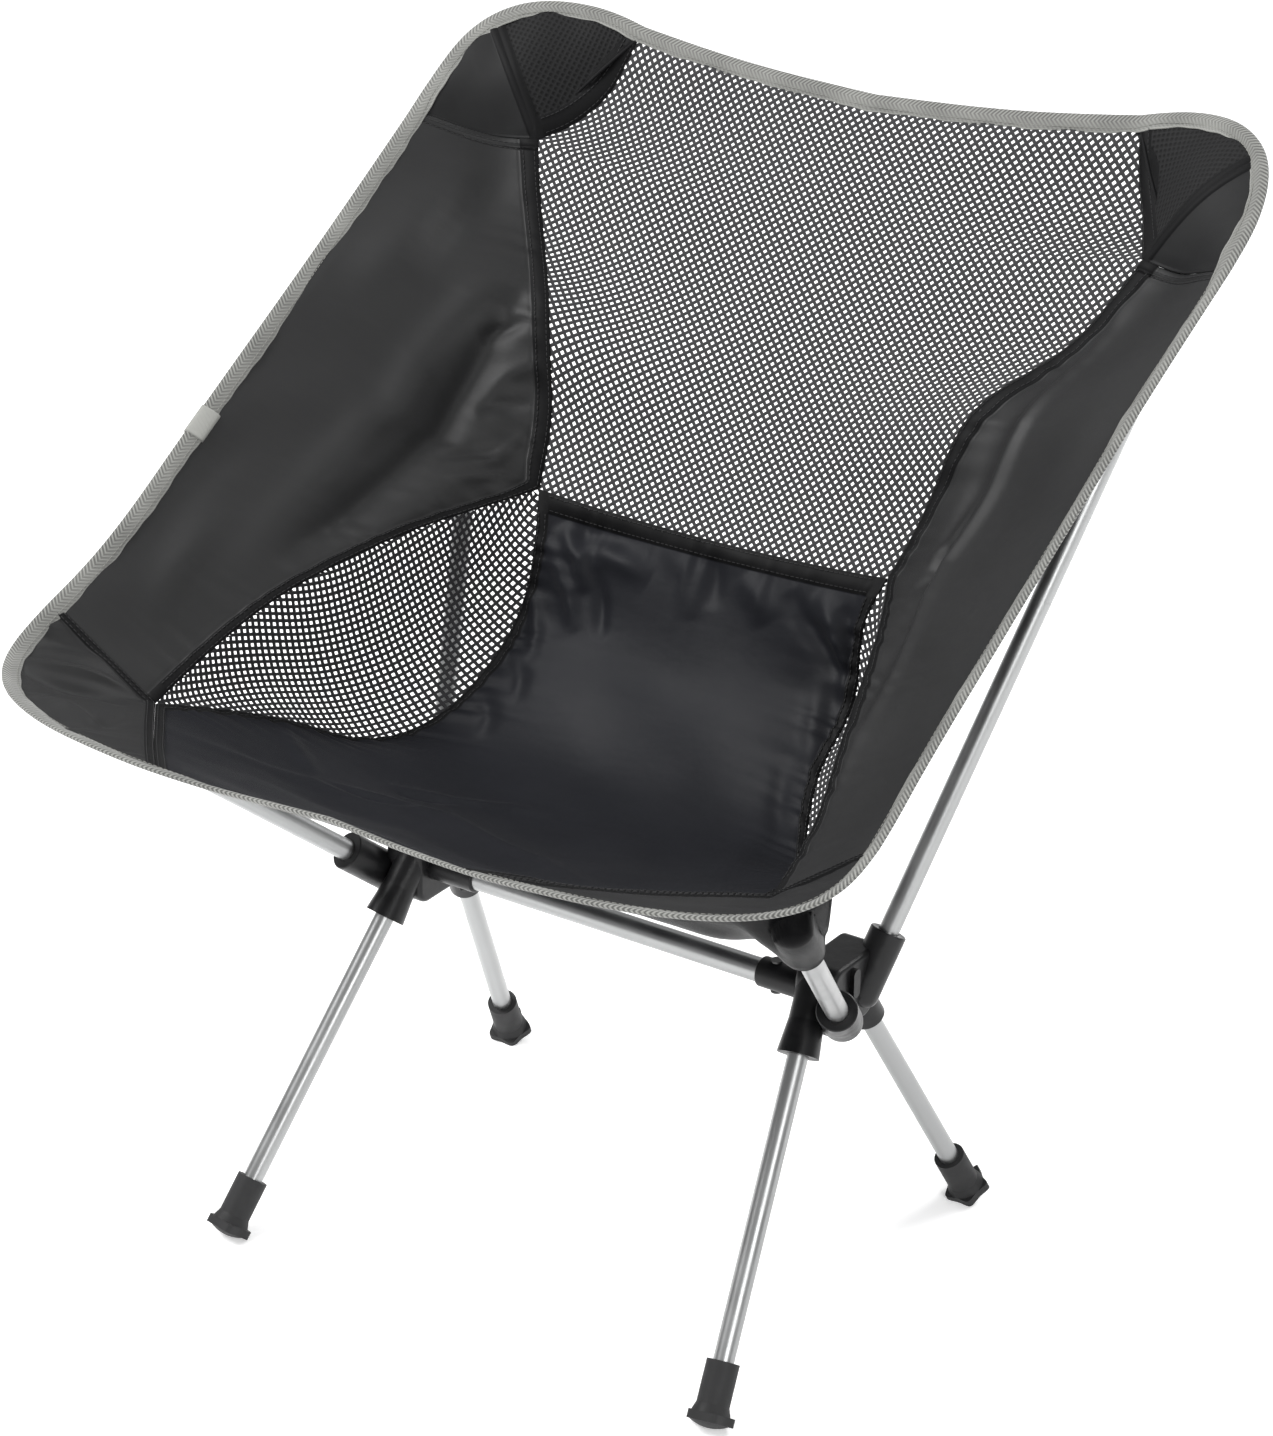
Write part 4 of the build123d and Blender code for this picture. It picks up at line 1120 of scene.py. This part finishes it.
def smooth_along(values, run, reach):
    """Running average over a length of path, so that directions turn gently."""
    grid = np.arange(0, run[-1], 0.001)
    dense = read_at(grid, run, values)
    window = np.hanning(2 * int(reach / 0.001) + 1)
    window /= window.sum()
    pad = len(window) // 2
    padded = np.concatenate([dense[-pad:], dense, dense[:pad]])
    smooth = np.stack([np.convolve(padded[:, k], window, "valid") for k in range(3)], -1)
    return grid, smooth


def whole_loop():
    """Closed rim from the hem's middle round the left, the top and the right, with directions along it."""
    points, inward = half_loop()
    flip = np.array([-1, 1, 1])
    points = np.concatenate([points, (points * flip)[::-1]])
    inward = np.concatenate([inward, (inward * flip)[::-1]])
    steps = np.linalg.norm(np.diff(points, axis=0), axis=1)
    keep = np.concatenate([[True], steps > 1e-6])
    points, inward = points[keep], inward[keep]
    run = run_along(points)
    grid, way = smooth_along(inward, run, 0.022)
    path = read_at(grid, run, points)
    tangent = np.roll(path, -1, 0) - np.roll(path, 1, 0)
    tangent = unit(tangent)
    way = way - tangent * (way * tangent).sum(1, keepdims=True)
    way = unit(way)
    normal = np.cross(tangent, way)
    normal *= np.sign(normal[0, 2])
    return grid, path, way, normal


def flat_oval(sides, squareness):
    """Profile of folded tape: shares in from the fold, and out to each face (-1 to 1)."""
    angle = TAU * np.arange(sides) / sides
    return 0.5 - 0.5 * np.cos(angle), np.abs(np.sin(angle)) ** squareness * np.sign(np.sin(angle))


TAPE_SEAM, STITCH_LIFT = 0.0078, 0.00118  # stitch row's distance in from the rim, and off its middle


def edge_binding():
    """Tape folded over the rim: a flat oval, fuller at the fold, with a slightly uneven inner edge."""
    run, path, way, normal = whole_loop()
    sides = 22
    into, flatness = flat_oval(sides, 0.62)
    long_wave = np.sin(TAU * run / 0.047 + 2 * np.sin(TAU * run / 0.31))
    width = TAPE_WIDTH * (1 + 0.035 * long_wave + 0.02 * np.sin(TAU * run / 0.0173))
    fuller = 1.25 - 0.6 * into
    sway = 0.0003 * np.sin(TAU * run / 0.061) - 0.0003
    off_cloth = (TAPE_FOLD * flatness * fuller)[None, :, None] + (sway[:, None] * into)[..., None]
    from_rim = into[None, :, None] * width[:, None, None] - 0.0006
    points = path[:, None] + way[:, None] * from_rim + normal[:, None] * off_cloth
    around = run_along(points[0])
    uv = np.stack(np.broadcast_arrays(run[:, None], np.abs(around[None, :] - around[sides // 2])), -1)
    rows = len(run)
    i, j = np.meshgrid(np.arange(rows), np.arange(sides), indexing="ij")
    a, b = i * sides + j, ((i + 1) % rows) * sides + j
    c, d = ((i + 1) % rows) * sides + (j + 1) % sides, i * sides + (j + 1) % sides
    faces = np.stack([a, b, c, d], -1).reshape(-1, 4)
    p = points.reshape(-1, 3)
    q = faces[: sides]
    outward = np.cross(p[q[:, 1]] - p[q[:, 0]], p[q[:, 2]] - p[q[:, 0]])
    if (outward * (p[q].mean(1) - points[0].mean(0))).sum() < 0:
        faces = faces[:, ::-1]
    piece = put_mesh("edge_binding", points, faces, BINDING, uv)
    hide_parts("front_binding", "side_binding_left", "side_binding_right", "top_binding")
    rows = []
    for side in (1, -1):
        seam_path = path + way * TAPE_SEAM + normal * (side * STITCH_LIFT - 0.0002)
        rows.append((seam_path, normal * side))
    sew("binding_stitches", rows, PALE_THREAD)
    return path, way, normal


loop = edge_binding()


LAP_WIDTH, LAP_FOLD = 0.0128, 0.0023


def binding_tab():
    """Lapped end of the tape on the sitter's right: one more folded layer, a little wider than the tape."""
    path, way, normal = loop
    centre = np.mean([np.array(end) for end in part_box("binding_tab")], axis=0)
    middle = np.argmin(np.linalg.norm(path + way * 0.005 - centre, axis=1))
    span = np.arange(middle - 10, middle + 11)
    sides = 18
    into, flatness = flat_oval(sides, 0.5)
    points = (
        path[span][:, None]
        + way[span][:, None] * (into[None, :, None] * LAP_WIDTH - 0.0014)
        + normal[span][:, None] * (LAP_FOLD * flatness)[None, :, None]
    )
    ends = points.mean(1, keepdims=True)
    points = np.concatenate([np.repeat(ends[:1], sides, 1), points, np.repeat(ends[-1:], sides, 1)])
    faces = grid_faces(len(points), sides, closed=True)
    down, over = np.arange(len(points))[:, None] * MM, np.linspace(-0.012, 0.012, sides)[None]
    uv = np.stack(np.broadcast_arrays(down, over), -1)
    piece = put_mesh("binding_lap", points, faces, BINDING, uv)
    face_out(piece)
    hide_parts("binding_tab")


binding_tab()


# ---------------------------------------------------------------- pole pockets under the corners
def node_points(node):
    """Vertices of a CAD node."""
    mesh = nodes[node].data
    points = np.empty(len(mesh.vertices) * 3)
    mesh.vertices.foreach_get("co", points)
    return points.reshape(-1, 3)


def pole_axis(node, cap):
    """Upper end of a straight CAD tube, its direction, and the closed end of its cap."""
    points = node_points(node)
    centre = points.mean(0)
    way = np.linalg.svd(points - centre, full_matrices=False)[2][0]
    way *= np.sign(way[2])
    high = centre + way * ((points - centre) @ way).max()
    return high, way, high + way * ((node_points(cap) - high) @ way).max()


TAPE_HOLD, HOOD_DROP = 0.0045, 0.0007  # how far the hood reaches in from the rim, and lies under the tape


def under_edge(line):
    """The same stretch of the rim as a line, inside the edge tape and on its side away from the sitter."""
    path, way, normal = loop
    shares = np.linspace(0, 1, 200)
    nearest = np.linalg.norm(path[None] - line(shares)[:, None], axis=-1).argmin(1)
    held = path[nearest] + way[nearest] * TAPE_HOLD - normal[nearest] * HOOD_DROP
    return lambda s: read_at(s, shares, held)


HOOD_RADIUS, MOUTH_EASE, PIPING_RADIUS = 0.0088, 0.0014, 0.0010
MOUTH_ANGLES = np.radians([-5, 30, 60, 90, 120, 150, 185])


def hood(name, node, cap, stretch, depth, away, replaced, droop):
    """Pocket under a corner: from the rim to a free edge under the pole, draped over the pole's tip."""
    rim_line = under_edge(stretch)
    start, end = rim_line(np.array(0.0)), rim_line(np.array(1.0))
    high, way, tip = pole_axis(node + "_left", cap + "_left")
    away = np.array(away, float)
    away = away - way * (away @ way)
    away /= np.linalg.norm(away)
    side = np.cross(way, away)
    if (start - high) @ side < 0:
        side = -side
    mouth = high - way * depth
    ring = [mouth + (HOOD_RADIUS + MOUTH_EASE) * (np.cos(a) * side + np.sin(a) * away) for a in MOUTH_ANGLES]
    points = np.array([start, start * 0.62 + ring[0] * 0.38, start * 0.28 + ring[0] * 0.72, *ring,
                       end * 0.3 + ring[-1] * 0.7, end * 0.65 + ring[-1] * 0.35, end])
    points[-3] += droop[0]
    points[-2] += droop[1]
    free = Line(points, in_metres=True)

    def surface(s, t):
        flatly = blend(rim_line(s), free(s), t)
        reach, deep, wide = ((flatly - tip) @ axis for axis in (way, away, side))
        room = 1 - (wide / (1.2 * HOOD_RADIUS)) ** 2 - (np.maximum(reach, 0) / (1.15 * HOOD_RADIUS)) ** 2
        needed = HOOD_RADIUS * np.sqrt(np.maximum(room, 0))
        lifted = 0.5 * (deep + needed + np.sqrt((deep - needed) ** 2 + 0.0012**2))
        held = np.clip(room / 0.3, 0, 1) * np.clip(t / 0.06, 0, 1)
        hang = 0.002 * np.sin(np.pi * t) * np.sin(np.pi * s)
        return flatly + away * ((lifted - deep) * held * held * (3 - 2 * held) + hang)[..., None]

    s, t = np.linspace(0.0, 1.0, 150), np.linspace(0.0, 1.0, 70)
    for label, mirror in SIDES:
        piece = cloth(f"{name}_{label}", surface, s, t, tuple(-away), (HOOD_FABRIC,), mirror,
                      lambda flat, a, b: drift(flat, 45, 0.9, 31) * ease(np.minimum(b, 1 - b) * 0.06, 8))
        stand_in(piece, f"{replaced}_{label}")
        share = np.linspace(0, 1, 260)
        tube(f"{name}_piping_{label}", surface(share, np.ones(260)), PIPING_RADIUS, SEAM, mirror)


HOOD_RIM = (0.54, 0.892)  # shares of the hem between which the front hood is sewn on
hood("front_hood", "seat_pole", "seat_pole_cap", lambda s: hem(HOOD_RIM[0] + s * (HOOD_RIM[1] - HOOD_RIM[0])),
     0.056, (0.15, 0.1, -1), "front_pocket", ((0, 0, -0.001), (0, 0, -0.004)))
hood("top_hood", "back_pole_upper", "back_pole_cap", lambda s: corner(1 - s),
     0.055, (0.2, 1, -0.6), "top_pocket", ((0, 0, 0), (0, 0, 0)))

# ---------------------------------------------------------------- finishes on the frame's own parts
FINISH_OF = (
    ("rivet", RIVET), ("cord_stop", CAP), ("_cord_", CORD), ("pole_cap", CAP), ("ferrule", TUBE),
    ("foot_boot", RUBBER), ("hub", NYLON), ("leg_tube", TUBE), ("crossbar", TUBE), ("pole", TUBE),
)
for name, piece in nodes.items():
    for word, material in FINISH_OF:
        if word in name:
            if piece.material_slots:
                for held in piece.material_slots:
                    held.material = material
            else:
                piece.data.materials.append(material)
            break

studio()
